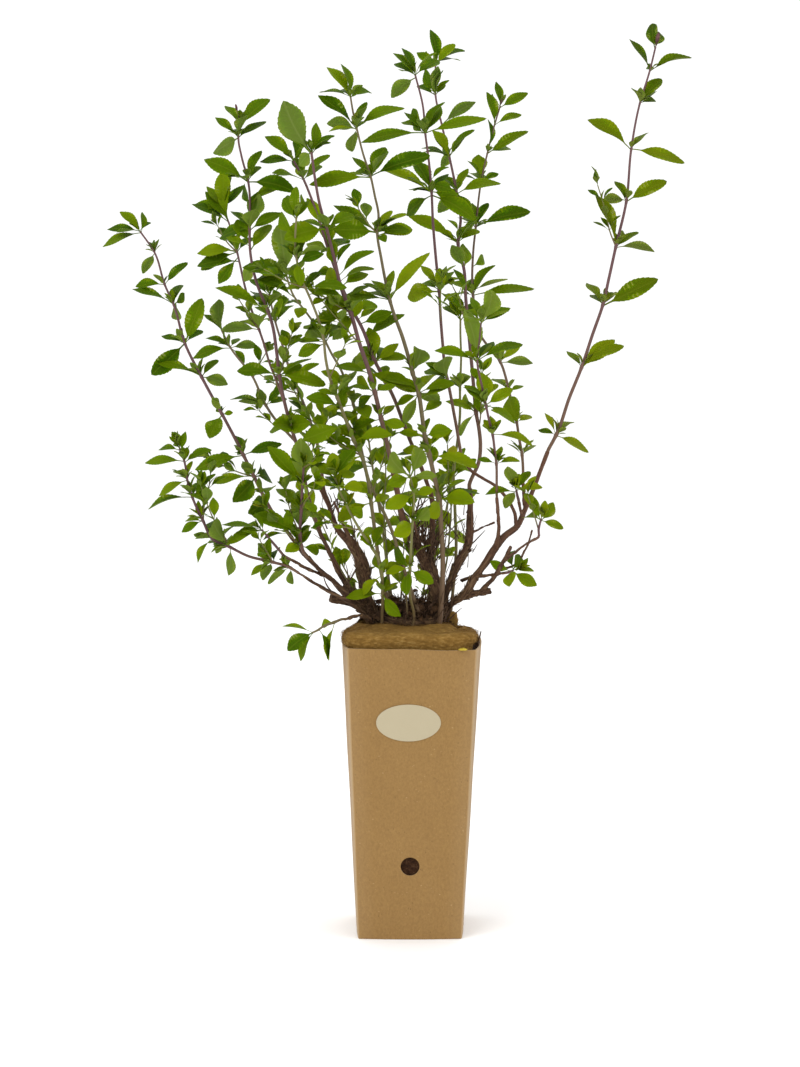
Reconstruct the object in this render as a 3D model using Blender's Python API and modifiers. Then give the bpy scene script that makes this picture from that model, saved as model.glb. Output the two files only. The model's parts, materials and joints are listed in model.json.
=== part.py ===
"""A bushy autumn sage in a tall square carton pot, for Blender 4.5. Metres, +Z up, camera side is -Y.

The origin is the middle of the pot's underside. Places on the plant are written in millimetres as
they show from the front, on the upright plane through the pot's middle (y = 0), and each is then
moved along the line of sight to its own depth, so that the bush is as deep as it is wide.
"""

import math
import random

import bmesh
import bpy
from mathutils import Matrix, Vector
from mathutils.bvhtree import BVHTree

MM = 0.001
SEAT_GAP = 0.3 * MM
EYE = Vector((-8.0, -2188.0, 551.1)) * MM

# The carton pot: a tall square taper whose side walls bulge between the folds.
POT_HEIGHT = 236 * MM
POT_WALL = 1.4 * MM
POT_FOOT_CORNER = 41.2 * MM
POT_FOOT_SIDE = 42.2 * MM
POT_RIM_CORNER = 48.2 * MM
POT_RIM_SIDE = 53.8 * MM
POT_FOLD_RADIUS = 2.2 * MM
POT_RIM_WAVE = 0.5 * MM
HOLE_RADIUS = 7.5 * MM
HOLE_HEIGHT = 60 * MM

# The oval label on the front wall.
LABEL_CENTRE = Vector((-1.3, 177.5)) * MM
LABEL_HALF_WIDTH = 25.5 * MM
LABEL_HALF_HEIGHT = 14.8 * MM
LABEL_THICKNESS = 0.5 * MM
LABEL_COLUMNS = 10
LABEL_END_HALF_HEIGHT = 0.8 * MM

# The fibre mat over the soil, with an opening for the crown and a torn flap that stands up at the right.
MAT_SIDES = 24
MAT_UNDERSIDE = 231.5 * MM
MAT_TOP = 249.5 * MM
MAT_FLAP_RISE = 8.5 * MM
MAT_FLAP_PLACE = Vector((40, 14)) * MM
MAT_FLAP_SPREAD = Vector((9, 16)) * MM
MAT_WAVE = 0.7 * MM
MAT_UNEVEN_ABOVE = 244 * MM
# Share of the way in to the opening, height, and half width outside: up the edge and over the top.
MAT_PROFILE = ((0.0, MAT_UNDERSIDE, 49.8 * MM), (0.0, 238 * MM, 49.9 * MM), (0.0, 242.5 * MM, 51.6 * MM),
               (0.12, 247.5 * MM, 48.5 * MM), (0.5, MAT_TOP, 46 * MM), (0.86, MAT_TOP + 0.8 * MM, 46 * MM),
               (1.0, 247 * MM, 46 * MM), (1.0, MAT_UNDERSIDE, 46 * MM))
OPENING_CENTRE = Vector((0.5, 6.0)) * MM
OPENING_HALF_WIDTH = 44 * MM
OPENING_HALF_DEPTH = 30 * MM

# The soil, and the mound that rises through the mat: share of the opening, and height.
SOIL_LEVEL = 231 * MM
SOIL_MOUND = ((0.93, SOIL_LEVEL), (0.9, 240 * MM), (0.66, 250 * MM))

# Rods. A branch this thick at its root, in millimetres, is round, and a thinner one is square. A point
# this near to the straight line between its neighbours is left out of a route.
THINNEST_ROUND = 6.2
STRAIGHT_ENOUGH = 0.45 * MM
FLAT_ENOUGH = math.radians(2.5)
STEM_FOOT = 226
STEMS_LEAN_FROM = 252
STEM_SEAT = 0.35 * MM
STEM_SEAT_END = 2.2 * MM

# Leaves.
RIDGE_THICKNESS = 1.1 * MM
PETIOLE_HALF_WIDTH = 0.6 * MM
NARROWEST_CUT_LEAF = 4.5
LEAF_CLEARANCE = 0.35 * MM
BIG_LEAF_WIDTH = 10.6 * MM
SMALL_LEAF_WIDTH = 7.3 * MM
WIDEST_LEAF = 13 * MM
WIDTH_PER_LENGTH = 0.34
LENGTH_PER_WIDTH = 2.3
LENGTH_ALLOWANCE = 9
DEPTH_PER_TURN = 14
TOP_NODE_DROP = 1.6 * MM
BIG_LEAF_ARCH = 0.10
LEAF_ARCH = 0.06
LEAF_LIFT = 0.05
LEAF_FOLD = 0.16
EDGE_WAVES = (-0.2 * MM, 0.35 * MM)
# Along a blade: share of its length, share of its half width, and whether it is ridged there.
BIG_LEAF = ((0, 0, 1), (.2, 0, 1), (.42, .84, 0), (.62, 1, 1), (.83, .64, 0), (1, 0, 0))
MIDDLE_LEAF = ((0, 0, 1), (.2, 0, 1), (.46, .95, 0), (.76, .74, 0), (1, 0, 0))
SMALL_LEAF = ((0, 0, 1), (.44, .95, 0), (.74, .76, 0), (1, 0, 0))
# How far a leaf is turned and tilted, in degrees, to find a clear place, in the order tried.
TRIES = ((0, 0), (9, 0), (-9, 0), (0, 9), (0, -9), (18, 6), (-18, 6), (18, -6), (-18, -6), (30, 0),
         (-30, 0), (42, 8))

# Woody branches: (x, z, depth, diameter) in millimetres, from the root up. One table for each trunk.
WOOD = {
    "wood_left": {
        "trunk": [(-24, 226, 0, 13), (-29, 250, -2, 12.5), (-35, 270, -4, 11.5), (-37, 290, -6, 11),
                  (-42, 305, -7, 10), (-49, 317, -8, 8.5)],
        "fork": [(-45, 310, -7, 7), (-56, 322, -5, 6.4), (-62, 333, 0, 5.6), (-65, 345, 6, 5),
                 (-69, 356, 12, 4.3), (-70, 366, 16, 3.7)],
        "fork_slim": [(-64, 341, 4, 4), (-70, 353, 0, 3.7), (-76, 369, -6, 3.4)],
        "snag": [(-47, 314, -9, 5), (-53, 328, -12, 4), (-57, 338, -13, 3), (-61, 347, -14, 2.4)],
        "tall": [(-36, 262, -5, 6), (-50, 277, -12, 5.5), (-56, 288, -15, 5.2), (-63, 303, -18, 5),
                 (-70, 317, -21, 4.6), (-75, 330, -24, 4.3)],
        "slim": [(-33, 256, -5, 5), (-52, 275, -21, 4.4), (-68, 288, -28, 4), (-82, 302, -34, 3.8)],
        "outer": [(-31, 252, -6, 6), (-50, 270, -17, 5.5), (-67, 287, -22, 5), (-80, 299, -25, 4.8),
                  (-90, 311, -26, 4.5), (-98, 322, -27, 4.2)],
        "low": [(-30, 250, -6, 5), (-48, 265, -26, 4), (-62, 273, -34, 3.6), (-78, 282, -40, 3.3),
                (-92, 291, -44, 3.1)],
        "sprig": [(-66, 286, -22, 3.4), (-83, 293, -33, 3.2), (-92, 298, -40, 3), (-99, 302, -44, 2.8)],
        "stump": [(-33, 262, -4, 9), (-48, 266, -12, 8.5), (-64, 269, -18, 8)],
        "trailer": [(-28, 247, -6, 4), (-41, 255, -28, 3.2), (-50, 252.5, -32, 2.8)],
    },
    "wood_centre": {
        "trunk": [(16, 226, 3, 14), (19, 250, 3, 13.5), (21, 270, 3, 13), (18, 286, 2, 12),
                  (12, 300, 2, 11), (6, 309, 2, 9.5)],
        "fork": [(10, 303, 1, 9), (2, 318, -6, 8), (-6, 334, -14, 7), (-10, 354, -24, 6),
                 (-14, 372, -34, 5.2)],
        "fork_back": [(14, 297, 3, 8), (17, 312, 8, 7), (18, 328, 12, 6.2), (18, 346, 12, 5.4),
                      (12, 366, 8, 4.8), (5, 384, 2, 4.4)],
        "snag_front": [(12, 300, -1, 4), (6, 318, -14, 3), (3, 331, -22, 2.4)],
        "snag_back": [(10, 302, 5, 3.4), (3, 322, 16, 2.6), (2, 336, 22, 2.2)],
        "snag_low": [(16, 304, 5, 3.6), (10, 322, 12, 2.8), (10, 334, 18, 2.4)],
    },
    "wood_right": {
        "trunk": [(31, 226, 10, 10), (35, 252, 9, 9.6), (40, 280, 9, 9.2), (43, 296, 10, 9),
                  (46.5, 312, 11, 8.6), (48, 330, 12, 7.6), (48, 346, 13, 6), (47.5, 358, 14, 5)],
        "limb": [(36.5, 257, 5, 8), (40, 265, -2, 8.5), (45, 272, -8, 8.5), (51, 284, -10, 8),
                 (61, 298, -10, 7.5), (68, 309, -9, 7.2), (76, 319, -7, 6.6), (86, 327, -4, 6.2),
                 (92, 340, 0, 5.6), (98, 355, 4, 5), (104, 371, 8, 4.6), (110, 387, 12, 4.2)],
        "slim": [(68, 308, -9, 5), (71, 322, -14, 4.2), (70.5, 336, -20, 3.8), (69.5, 350, -26, 3.5)],
        "tall": [(92, 339, 0, 4.5), (91, 351, 3, 4), (90.5, 362, 6, 3.8)],
        "arch": [(85, 325, -4, 4), (84, 337, -7, 3.6), (79, 347, -5, 3.5), (73, 355, -1, 3.5),
                 (66, 361, 2, 3.5), (57, 366, 4, 3.5), (49, 371.5, 5, 3.5), (43, 380, 6, 3.6)],
        "stump": [(43, 270, -6, 8), (54, 273, -9, 7.5), (65, 275, -10, 7)],
        "second": [(55, 273, -9, 5), (66, 284, -15, 4.6), (75, 299, -18, 4.2), (81, 311, -20, 3.6)],
        "twig": [(73, 296, -17.5, 3.4), (82, 304, -21, 3), (92, 312, -24, 2.8), (101, 317, -28, 2.8)],
        "level": [(41, 283, 5, 3.4), (51, 286, -9, 3.2), (65, 287.5, -13, 3.2), (77, 289.5, -16, 3)],
        "spike": [(71, 292, -16, 2.8), (84, 296, -8, 2.6), (92, 307, -4, 2.4), (98, 324, 0, 2.2)],
        "bar": [(47, 320, 11, 2.6), (60, 327, 8, 2.5), (68, 330, 5, 2.4)],
        "bud": [(90, 334, -2, 3.4), (88, 342, -12, 3), (87, 347, -17, 3)],
    },
}

# Leafy stems, each from its lower end up. "from" names the wood that carries it, or its foot in the
# soil as (x, depth). "tip_depth" is where its top lies, "thick" its diameters at foot and tip.
# A point is (x, z, leaf, leaf, ...), and a leaf is (tip x, tip z, width seen, how far it turns out of
# the picture's plane: - towards the front, + to the back). A negative width shows the underside.
STEMS = {
    "stem_right_outer": {"from": ("wood_right", "limb"), "tip_depth": 45, "thick": (4.2, 2.6), "points": [
        (113.5, 394),
        (116.6, 400, (142.7, 386, 10, .3), (107, 418, 5, 0), (131, 410, 7, .4)),
        (127, 430),
        (136.5, 454, (163, 476, 12, .2), (170.5, 471, 8, -.3), (124.5, 467, 5, .3)),
        (145, 480),
        (153, 503.5, (197, 524, 14, 0), (140, 521, 7, .4), (163.5, 514, 5, .4)),
        (158, 526),
        (163, 549.5, (146, 591, 8, 0), (194, 545, -7, .2), (181, 561, 5, .4)),
        (171, 585, (203, 601, 10, 0), (152, 585, -7, .3), (161.5, 601, 5, .3)),
        (174.5, 626, (139.5, 649, 8, 0), (217, 615, 8, 0), (188, 639, 5, .4)),
        (181, 662, (198, 681, 6, .2), (174, 674, 5, .3)),
        (188.5, 687, (172, 712, 5, 0), (222, 697, 6, 0)),
        (193, 706, (190, 724, 9, .2))]},
    "stem_left_outer": {"from": ("wood_left", "outer"), "tip_depth": 60, "thick": (4.2, 2.6), "points": [
        (-108, 335),
        (-117, 351, (-130, 337, 13, -.4), (-110, 358, 6, .4)),
        (-124.5, 366.5, (-158, 361, 7, 0), (-142, 346, 13, -.5), (-111, 363, 9, .3), (-134, 379, 5, .2)),
        (-133, 384, (-172, 372, 9, 0), (-102, 393, 8, .1), (-140.5, 400, 7, .2)),
        (-141, 400),
        (-150, 417, (-160, 397, 11, -.3), (-141, 418, 4, 0)),
        (-157, 429.5),
        (-166, 446.5, (-203, 458, 7, 0), (-145, 440, -9, .2), (-152.5, 460, 5, .3)),
        (-179, 473, (-206, 448, 13, -.2), (-165, 509, 9, -.2), (-198, 479, 5, .3)),
        (-187.6, 503.5, (-221, 516, 6, 0), (-179, 513, 6, .2), (-190, 494, -8, .5)),
        (-194.6, 519.5, (-218, 518, 6, .2), (-176, 537, 6, 0)),
        (-202, 544, (-212, 528, -7, .2), (-203, 555, 4, .2)),
        (-214, 562, (-244, 549, 6, 0), (-240, 563, 6, .2), (-212, 577, 5, .2), (-230, 577, 6, 0))]},
    "stem_low_left": {"from": ("wood_left", "low"), "tip_depth": -70, "thick": (3.1, 2.6), "points": [
        (-96, 293.5, (-114, 280, -5, 0), (-93.5, 280, 5, .2)),
        (-110, 298, (-118, 283, 7, .2), (-104, 309, 5, .3)),
        (-130, 303),
        (-144, 310, (-157, 331, 12, -.3), (-146, 287, -7, .3)),
        (-158.5, 317, (-170, 297, 5, 0), (-156, 305, 5, .3)),
        (-165.5, 331, (-180, 331, 5, .2), (-183, 322, 6, 0)),
        (-174, 350, (-210, 340, 5, 0), (-155, 369, 6, 0)),
        (-178, 364, (-201, 351, 6, 0), (-189, 371, 5, .2)),
        (-180, 378, (-212, 377.5, 6, 0), (-158, 388, 5, 0)),
        (-184, 389, (-201, 388, 5, .2), (-179, 403, 5, 0), (-188, 403, 5, .1))]},
    "sprig_low_left": {"from": ("wood_left", "sprig"), "tip_depth": -62, "thick": (2.8, 2.6), "points": [
        (-105, 308), (-111, 315),
        (-118.5, 324, (-139, 321.5, 5, 0), (-151, 328, 4, .1), (-147, 312, 6, -.1), (-124, 338, 4, .1))]},
    "sprig_left_front": {"from": ("wood_left", "slim"), "tip_depth": -75, "thick": (3.8, 3), "points": [
        (-87, 311, (-73, 306, 7, .2), (-100, 306, 8, -.2), (-83, 327, 7, .3)),
        (-88, 320, (-88, 356, 16, -.1), (-127, 336, 11, -.3)),
        (-87, 340, (-107, 357, 9, .3)),
        (-86, 360, (-87, 398, 15, -.2), (-114, 391, 11, .2), (-70, 357, 6, .1)),
        (-85, 374, (-68, 381, 5, .3), (-92, 386, 6, .4))]},
    "stem_left_tall": {"from": ("wood_left", "tall"), "tip_depth": -55, "thick": (4.3, 2.6), "points": [
        (-79, 342),
        (-84, 362, (-106, 362, 5, .2)),
        (-88, 384),
        (-95, 407, (-110, 408, 12, -.4), (-79, 410, 13, -.3), (-112, 403, 6, .3)),
        (-99, 422),
        (-104, 447, (-138, 451, 8, 0), (-86, 456, 9, .1), (-67, 440, 10, .2), (-106, 462, 5, .3)),
        (-106, 465), (-110, 490),
        (-113, 499, (-155, 517, 8, 0), (-103, 513, 6, .3), (-126, 514, 8, .4)),
        (-122, 522), (-127, 550),
        (-127, 563, (-151, 556, 9, .3), (-101, 576, 8, .3)),
        (-128, 601, (-163, 618, 11, 0), (-90, 592, 11, -.2), (-117, 625, 6, .3)),
        (-133, 620),
        (-135.5, 635, (-154, 651, 6, 0), (-156, 623, 11, .3)),
        (-134, 646, (-146, 660, 6, .2), (-110, 665, 9, 0))],
        "side": {"at": 4, "tip_depth": 25, "points": [
            (-107, 445), (-112, 458), (-116, 472),
            (-120, 484, (-150, 483.5, -7, 0), (-134, 491, 5, .2), (-114, 497, 5, .3)),
            (-125, 497), (-131, 518),
            (-137, 545, (-169, 544, 8, 0), (-166, 531, 9, .3), (-146, 560, 5, .2)),
            (-143, 567),
            (-148, 580, (-171, 582.5, 7, .1), (-161, 597, 6, .2), (-141.5, 607, 6, 0),
             (-131, 598, 6, .3))]}},
    "stem_back_left": {"from": ("wood_left", "fork"), "tip_depth": 105, "thick": (3.6, 2.6), "points": [
        (-72, 380), (-74, 393),
        (-80, 412, (-66, 404, 4, .2), (-94, 420, 6, .5)),
        (-88, 433),
        (-92, 442, (-72, 457, 5, 0), (-104, 455, 6, .5)),
        (-98, 459), (-101, 470),
        (-107, 490, (-124, 502, 6, .3), (-92, 503, 6, .4)),
        (-112, 512, (-128, 524, 6, .3), (-101, 529, 6, .3), (-113, 532, 5, .3))]},
    "stem_mid_left": {"from": ("wood_left", "fork_slim"), "tip_depth": 10, "thick": (3.4, 2.6), "points": [
        (-81, 379), (-89, 392), (-98, 402), (-107, 412),
        (-115, 424, (-137, 427, -5, 0), (-122, 437, 5, .2), (-101, 439, 5, .2)),
        (-125, 446),
        (-143, 470, (-173, 461, 7, 0), (-163, 477, 5, .3), (-121, 470, -7, .2), (-132, 457, 5, .2)),
        (-150, 484, (-152, 508, 11, -.2), (-164, 496, 5, .3))]},
    "stem_front_left": {"from": (-12, -8), "tip_depth": -115, "thick": (4.6, 2.6), "points": [
        (-14, 250), (-20, 275), (-25, 300), (-28, 322),
        (-31, 345, (-58, 331, 10, -.1), (-17, 352, 7, .2)),
        (-34, 366),
        (-39, 384, (-66, 373, 13, -.2), (-57, 388, 8, .3)),
        (-45, 396, (-67, 396, 8, .1), (-57, 409, 7, .3), (-14, 400, 8, 0)),
        (-50, 409),
        (-58, 430, (-74, 436, 4, 0), (-47, 446, -6, .3)),
        (-64, 446), (-67, 460),
        (-69, 478, (-84, 487, 6, .4), (-55, 486, 6, .3)),
        (-79, 508),
        (-83, 517, (-98, 517, 6, .2), (-50, 517, 7, 0), (-74, 528, 5, .3)),
        (-86, 524),
        (-90, 540, (-84, 556, 6, .2), (-68, 548, -6, 0)),
        (-91, 552),
        (-90, 573, (-101, 584, 6, .2), (-80, 586, 6, .2), (-90, 597, 7, 0))]},
    "stem_leaning_left": {"from": (7, -13), "tip_depth": -48, "thick": (4.4, 2.6), "points": [
        (8, 250), (2, 272), (-4, 290), (-9, 306), (-14, 322), (-20, 336), (-27, 350), (-33, 364),
        (-37, 380), (-41, 399),
        (-45, 424, (-73, 412, 6, 0), (-33, 413, 9, -.3)),
        (-50, 438, (-71, 451, 6, .2)),
        (-54, 450), (-63, 466),
        (-67, 474, (-89, 463, 8, 0), (-89, 475, 6, .3), (-79, 489, 13, -.4)),
        (-72, 483), (-82, 497), (-93, 512),
        (-98, 526, (-103, 568, 16, -.2), (-116, 537, 6, .3), (-84, 538, 6, .3))]},
    "stem_purple_front": {"from": ("wood_centre", "fork"), "tip_depth": -110, "thick": (5.2, 3.4),
        "points": [
        (-17.6, 390),
        (-23, 413, (-46, 405, 7, .1), (-4, 407, 8, -.1), (-13, 424, 5, .2)),
        (-28, 434, (-42, 447, 8, .2), (-11, 440, 5, .1), (-41, 423, 7, .2)),
        (-33, 452), (-39.9, 472),
        (-47, 497, (-77, 490, 9, -.2), (-62, 476, 9, .3), (-68, 507, 9, .2), (-26, 503, 7, .3)),
        (-55, 518), (-60, 540),
        (-66, 563, (-100, 555, 15, -.2), (-44, 574, 8, .3)),
        (-72, 585), (-75, 602),
        (-78, 624, (-100, 664, 19, -.1), (-104, 646, 10, .4), (-74, 647, 7, .2), (-62, 637, 6, .3))]},
    "stem_purple_back": {"from": ("wood_centre", "fork_back"), "tip_depth": -52, "thick": (4.4, 3.2),
        "points": [
        (0, 396), (-5, 409), (-13, 430), (-21, 446),
        (-28, 459, (-33, 486, 9, .1), (-9, 473, 7, 0), (-3, 462, 6, .2), (-47, 455, -8, .3)),
        (-38, 485), (-46, 500), (-55, 520),
        (-64, 545, (-48, 556, 6, .3), (-82, 552, 6, .3)),
        (-72, 570), (-79, 590),
        (-84, 602, (-69, 612, -6, .3)),
        (-92, 617, (-115, 636, 9, 0), (-119, 616, 6, .2), (-90, 634, 6, .2))]},
    "stem_centre_tall": {"from": (22, -12), "tip_depth": -32, "thick": (6.4, 2.6), "points": [
        (24, 250), (25.5, 270), (26.3, 290), (26, 310), (24.7, 330),
        (23.5, 349, (52, 346, 11, -.3), (-19, 347, -5, .1), (13, 335, -10, -.3), (56, 353, 5, .2)),
        (20, 364),
        (15.5, 384, (54, 374, 7, 0), (-6, 388, 6, .1)),
        (12, 398, (33, 404, 10, -.1), (-9, 402, 6, 0)),
        (9.5, 416),
        (7, 433, (-30, 449, 9, -.1), (36, 441, 7, 0), (21, 448, 7, .3), (-11, 424, 6, .1),
         (-5, 408, -8, .2), (23, 425, -9, .4)),
        (2, 450, (9, 468, 13, -.5)),
        (-1.5, 463), (-6, 478), (-13, 497),
        (-16, 507, (-55, 509, 8, 0), (16, 545, 9, 0), (-31, 523, 6, .3), (-13, 531, 6, .3)),
        (-19, 520), (-23, 541),
        (-26, 560, (-61, 582, 8, 0), (-61, 563, 14, -.2), (0, 562, 7, .1), (-14, 578, 5, .3)),
        (-25, 575), (-28, 590),
        (-31, 604, (-80, 598, 10, 0), (16, 621, 10, 0), (-20, 622, 5, .3), (-46, 620, 5, .3)),
        (-37, 622),
        (-42, 642, (-73, 668, 6, 0), (-66, 646, -9, .2), (-4, 658, 8, 0), (-34, 663, 5, .3),
         (-45, 624, -8, .5)),
        (-45, 655),
        (-47, 667, (-66, 690, 8, .1), (-55, 693, 6, .2), (-37, 676, -5, .2))]},
    "stem_tallest": {"from": ("wood_right", "arch"), "tip_depth": 30, "thick": (3.6, 2.6), "points": [
        (39.5, 392), (37.5, 404), (34.5, 420), (31.5, 436),
        (29.5, 445, (28, 462, 14, -.6), (12, 458, 5, 0), (19, 443, 5, .3)),
        (27.5, 456), (26, 472), (24.5, 490),
        (23, 515, (-2, 510, 13, .2), (8, 535, 6, .2), (35, 530, 6, .2)),
        (20.5, 540), (18, 570),
        (17, 592, (-21, 609, 8, 0), (38, 590, 9, 0), (3, 617, 11, .2)),
        (15, 615),
        (12, 638, (-39, 631, 8, 0), (60.5, 650, 8, 0), (28, 663, 6, .2), (-5, 655, 5, .3)),
        (10, 660),
        (4, 684, (-13, 703, 6, .1), (-15, 668, -12, .2), (11, 701, 6, .2))]},
    "stem_back_right": {"from": ("wood_right", "trunk"), "tip_depth": 108, "thick": (4.6, 2.6), "points": [
        (50, 367), (54.5, 377), (56.2, 391),
        (55, 405),
        (52.6, 418, (28, 427, 5, 0), (43, 432, 7, .3), (41, 400, -5, .2), (68, 428, 6, .4)),
        (51, 435), (48.6, 461), (46, 488), (44, 512), (43, 530),
        (38, 552, (55, 562, 6, .3), (22, 563, 5, .3)),
        (40, 572),
        (37, 591, (72, 599, 8, 0), (46, 611, 6, .2), (25, 605, 6, .2)),
        (31, 620, (18, 640, 6, .1), (44, 637, 6, .2)),
        (25, 645),
        (20, 668, (10, 682, 5, .1), (31, 684, 5, .1)),
        (15.5, 702, (16, 729, 9, 0), (36, 710, 6, .1), (1, 716, 6, .2))]},
    "stem_right_tall": {"from": ("wood_right", "tall"), "tip_depth": 115, "thick": (3.8, 2.6), "points": [
        (90.3, 373),
        (89.5, 384, (99, 392, 5, .4)),
        (87, 398),
        (85, 411, (97, 415, 5, .2)),
        (79, 434.5, (86, 411, 13, -.6), (66, 445, 6, .4)),
        (77, 443),
        (71.7, 458.5, (98, 457, -7, 0), (88, 472, 6, .2), (60, 468, 6, .4)),
        (62, 471), (57, 478), (54, 490),
        (50, 511, (99, 516, 7, 0), (68, 535, 7, .1), (33, 522, 6, .3)),
        (50, 545),
        (52, 565, (95.5, 577, 10, 0), (62, 584, 6, .2), (38, 572, 6, .4)),
        (56, 600, (44, 616, 6, .1), (74, 602, 6, .1)),
        (61, 623, (93.5, 640, 9, 0), (42, 620, 10, .3)),
        (66, 643),
        (71, 660, (93, 671, 7, 0), (62, 680, 9, .1), (84, 683, 6, .2))]},
    "stem_right_front": {"from": ("wood_right", "slim"), "tip_depth": -92, "thick": (3.5, 2.6), "points": [
        (69.3, 362),
        (69, 377, (54, 381, 4, 0), (88, 379, 4, 0), (73, 391, 5, .2)),
        (67.7, 387),
        (66, 400, (98, 391, 7, 0), (63.5, 416, 5, .1)),
        (63, 412),
        (60.5, 424, (43, 440, 6, 0), (82, 437, 8, 0), (84, 409, 8, -.1), (54, 412, 7, .3)),
        (57.4, 438.5),
        (53.5, 459, (19, 467, 9, 0), (90, 472, 7, 0), (43, 500, 13, -.2), (63, 473, 7, .3)),
        (55, 474),
        (56.5, 490, (80, 501, 7, .1), (65, 515, 13, -.3), (48, 510, 6, .2))]},
    "stem_green_inner": {"from": (27, 24), "tip_depth": 72, "thick": (4, 3), "points": [
        (31, 250), (35, 280), (37, 310), (36, 340),
        (35, 374, (21, 379, 4, 0), (49, 372, 5, .2), (26, 361, 9, .2)),
        (38, 396), (39.8, 416),
        (39.8, 437, (48, 447, 4, .2), (32, 447, 4, .2)),
        (40.6, 462), (40, 482),
        (40, 493, (36, 514, 9, .1), (52, 506, 7, .2), (28, 503, 6, .2))]},
    "sprig_front_left": {"from": (-23, -14), "tip_depth": -84, "thick": (3.4, 2.6), "points": [
        (-22.5, 250),
        (-22, 273, (-52, 269, 7, -.1), (-7, 254, 9, -.2)),
        (-22.5, 288, (-38, 271, 7, .1), (-7, 296, 6, .3)),
        (-24, 298),
        (-30, 309, (-23, 327, 7, .2)),
        (-40, 324),
        (-50, 342, (-38, 334, 8, .1)),
        (-57, 357, (-77, 364, 5, 0), (-50, 347, 7, .1), (-37, 358, 8, .1)),
        (-60, 366, (-80, 377, 9, .3), (-62, 386, 9, .1), (-44, 369, 7, .2))]},
    "sprig_front_centre": {"from": (-2, -17), "tip_depth": -78, "thick": (3.2, 2.6), "points": [
        (3, 250), (0, 272),
        (0, 292, (19, 281, 9, -.1), (-20, 289, 6, .1), (-2, 271, 8, -.3)),
        (1, 312),
        (2, 330, (-13, 319, 11, -.2), (15, 341, 9, -.2)),
        (3, 352, (-20, 341, 10, -.1), (19, 357, 7, .1)),
        (0, 368, (-16, 384, 13, -.3), (9, 389, 12, -.3), (-18, 360, 9, -.2), (22, 367, -6, .1))]},
    "sprig_side_right": {"from": ("wood_right", "level"), "tip_depth": -20, "thick": (3, 2.8), "points": [
        (80.5, 290.5),
        (83, 291.5, (102, 279, 9, 0), (80, 278, 8, -.3), (64, 299, 7, .1), (88, 304, 8, .2))]},
    "sprig_right_tip": {"from": ("wood_right", "twig"), "tip_depth": -40, "thick": (2.8, 2.6), "points": [
        (103, 324),
        (105, 333, (123, 325, 6, 0), (115, 346, 8, .1), (100, 350, 6, .1), (92, 334, 7, .3))]},
    "sprig_right_fork": {"from": ("wood_right", "bud"), "tip_depth": -26, "thick": (3, 2.8), "points": [
        (86, 351),
        (85, 356, (78, 375, 9, -.2), (60, 352, 6, 0), (106, 358, 6, .1), (96, 371, 6, .2),
         (76, 341, 7, .2))]},
    "sprig_hanging": {"from": ("wood_left", "trailer"), "tip_depth": -46, "thick": (2.8, 2.6), "points": [
        (-55, 250.8),
        (-61, 248, (-64, 218, 7, -.1), (-71, 256, 8, .3)),
        (-69, 244.5),
        (-77, 240.5, (-103, 246, 5, 0), (-99, 226, 9, .2), (-88, 217, 11, -.2), (-69, 219, 7, .1))]},
    "sprig_back_left": {"from": (-14, 22), "tip_depth": 92, "thick": (3.4, 2.6), "points": [
        (-15, 250), (-17, 275), (-19, 300),
        (-22, 325, (-2, 331, 8, .3), (-40, 316, 7, .3)),
        (-26, 350, (-46, 362, 9, .2), (-7, 361, 8, .3), (-20, 366, 7, .6)),
        (-30, 375, (-16, 393, 8, .2), (-51, 371, 8, .3), (-35, 391, 7, .6)),
        (-33, 396, (-38, 417, 8, .1), (-19, 409, 7, .2), (-50, 405, 7, .3))]},
    "sprig_back_right": {"from": (12, 27), "tip_depth": 104, "thick": (3.4, 2.6), "points": [
        (13, 250), (16, 280), (20, 302),
        (25, 321, (47, 316, 9, .3), (8, 331, 8, .3), (30, 337, 7, .6)),
        (30, 345, (54, 356, 9, .2), (12, 355, 8, .3), (28, 362, 7, .6)),
        (35, 367, (27, 388, 8, .2), (53, 381, 8, .2), (44, 390, 6, .3))]},
}

# Leaves on the far side follow a rule: at this share of the nodes one points back from the stem.
FAR_SHARE = 0.26
FAR_LENGTH = (20, 33)
FAR_SWING = 50
FAR_SEEN_WIDTH = 0.25

# The dead twig that stands in the mat's right corner.
CORNER_TWIG = [(49, 229, -34, 1.8), (49.8, 239.5, -35, 1.7), (53, 243, -36, 1.6), (56.5, 247.5, -37, 1.5)]


def clear_scene():
    for thing in list(bpy.data.objects):
        bpy.data.objects.remove(thing, do_unlink=True)


def new_collection(name):
    collection = bpy.data.collections.new(name)
    bpy.context.scene.collection.children.link(collection)
    return collection


def material(name, colour, roughness):
    """A Principled finish, its colour linear."""
    finish = bpy.data.materials.new(name)
    finish.use_nodes = True
    shader = finish.node_tree.nodes["Principled BSDF"]
    shader.inputs["Base Color"].default_value = (*colour, 1)
    shader.inputs["Roughness"].default_value = roughness
    shader.inputs["Metallic"].default_value = 0
    finish.diffuse_color = (*colour, 1)
    return finish


def seen_at(x, z, depth):
    """The point this deep that shows at (x, z) on the upright plane y = 0. All in millimetres."""
    spread = (depth * MM - EYE.y) / -EYE.y
    return Vector((EYE.x + (x * MM - EYE.x) * spread, depth * MM, EYE.z + (z * MM - EYE.z) * spread))


def add_object(name, mesh, collection, finish=None):
    thing = bpy.data.objects.new(name, mesh)
    collection.objects.link(thing)
    if finish:
        mesh.materials.append(finish)
    return thing


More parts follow.
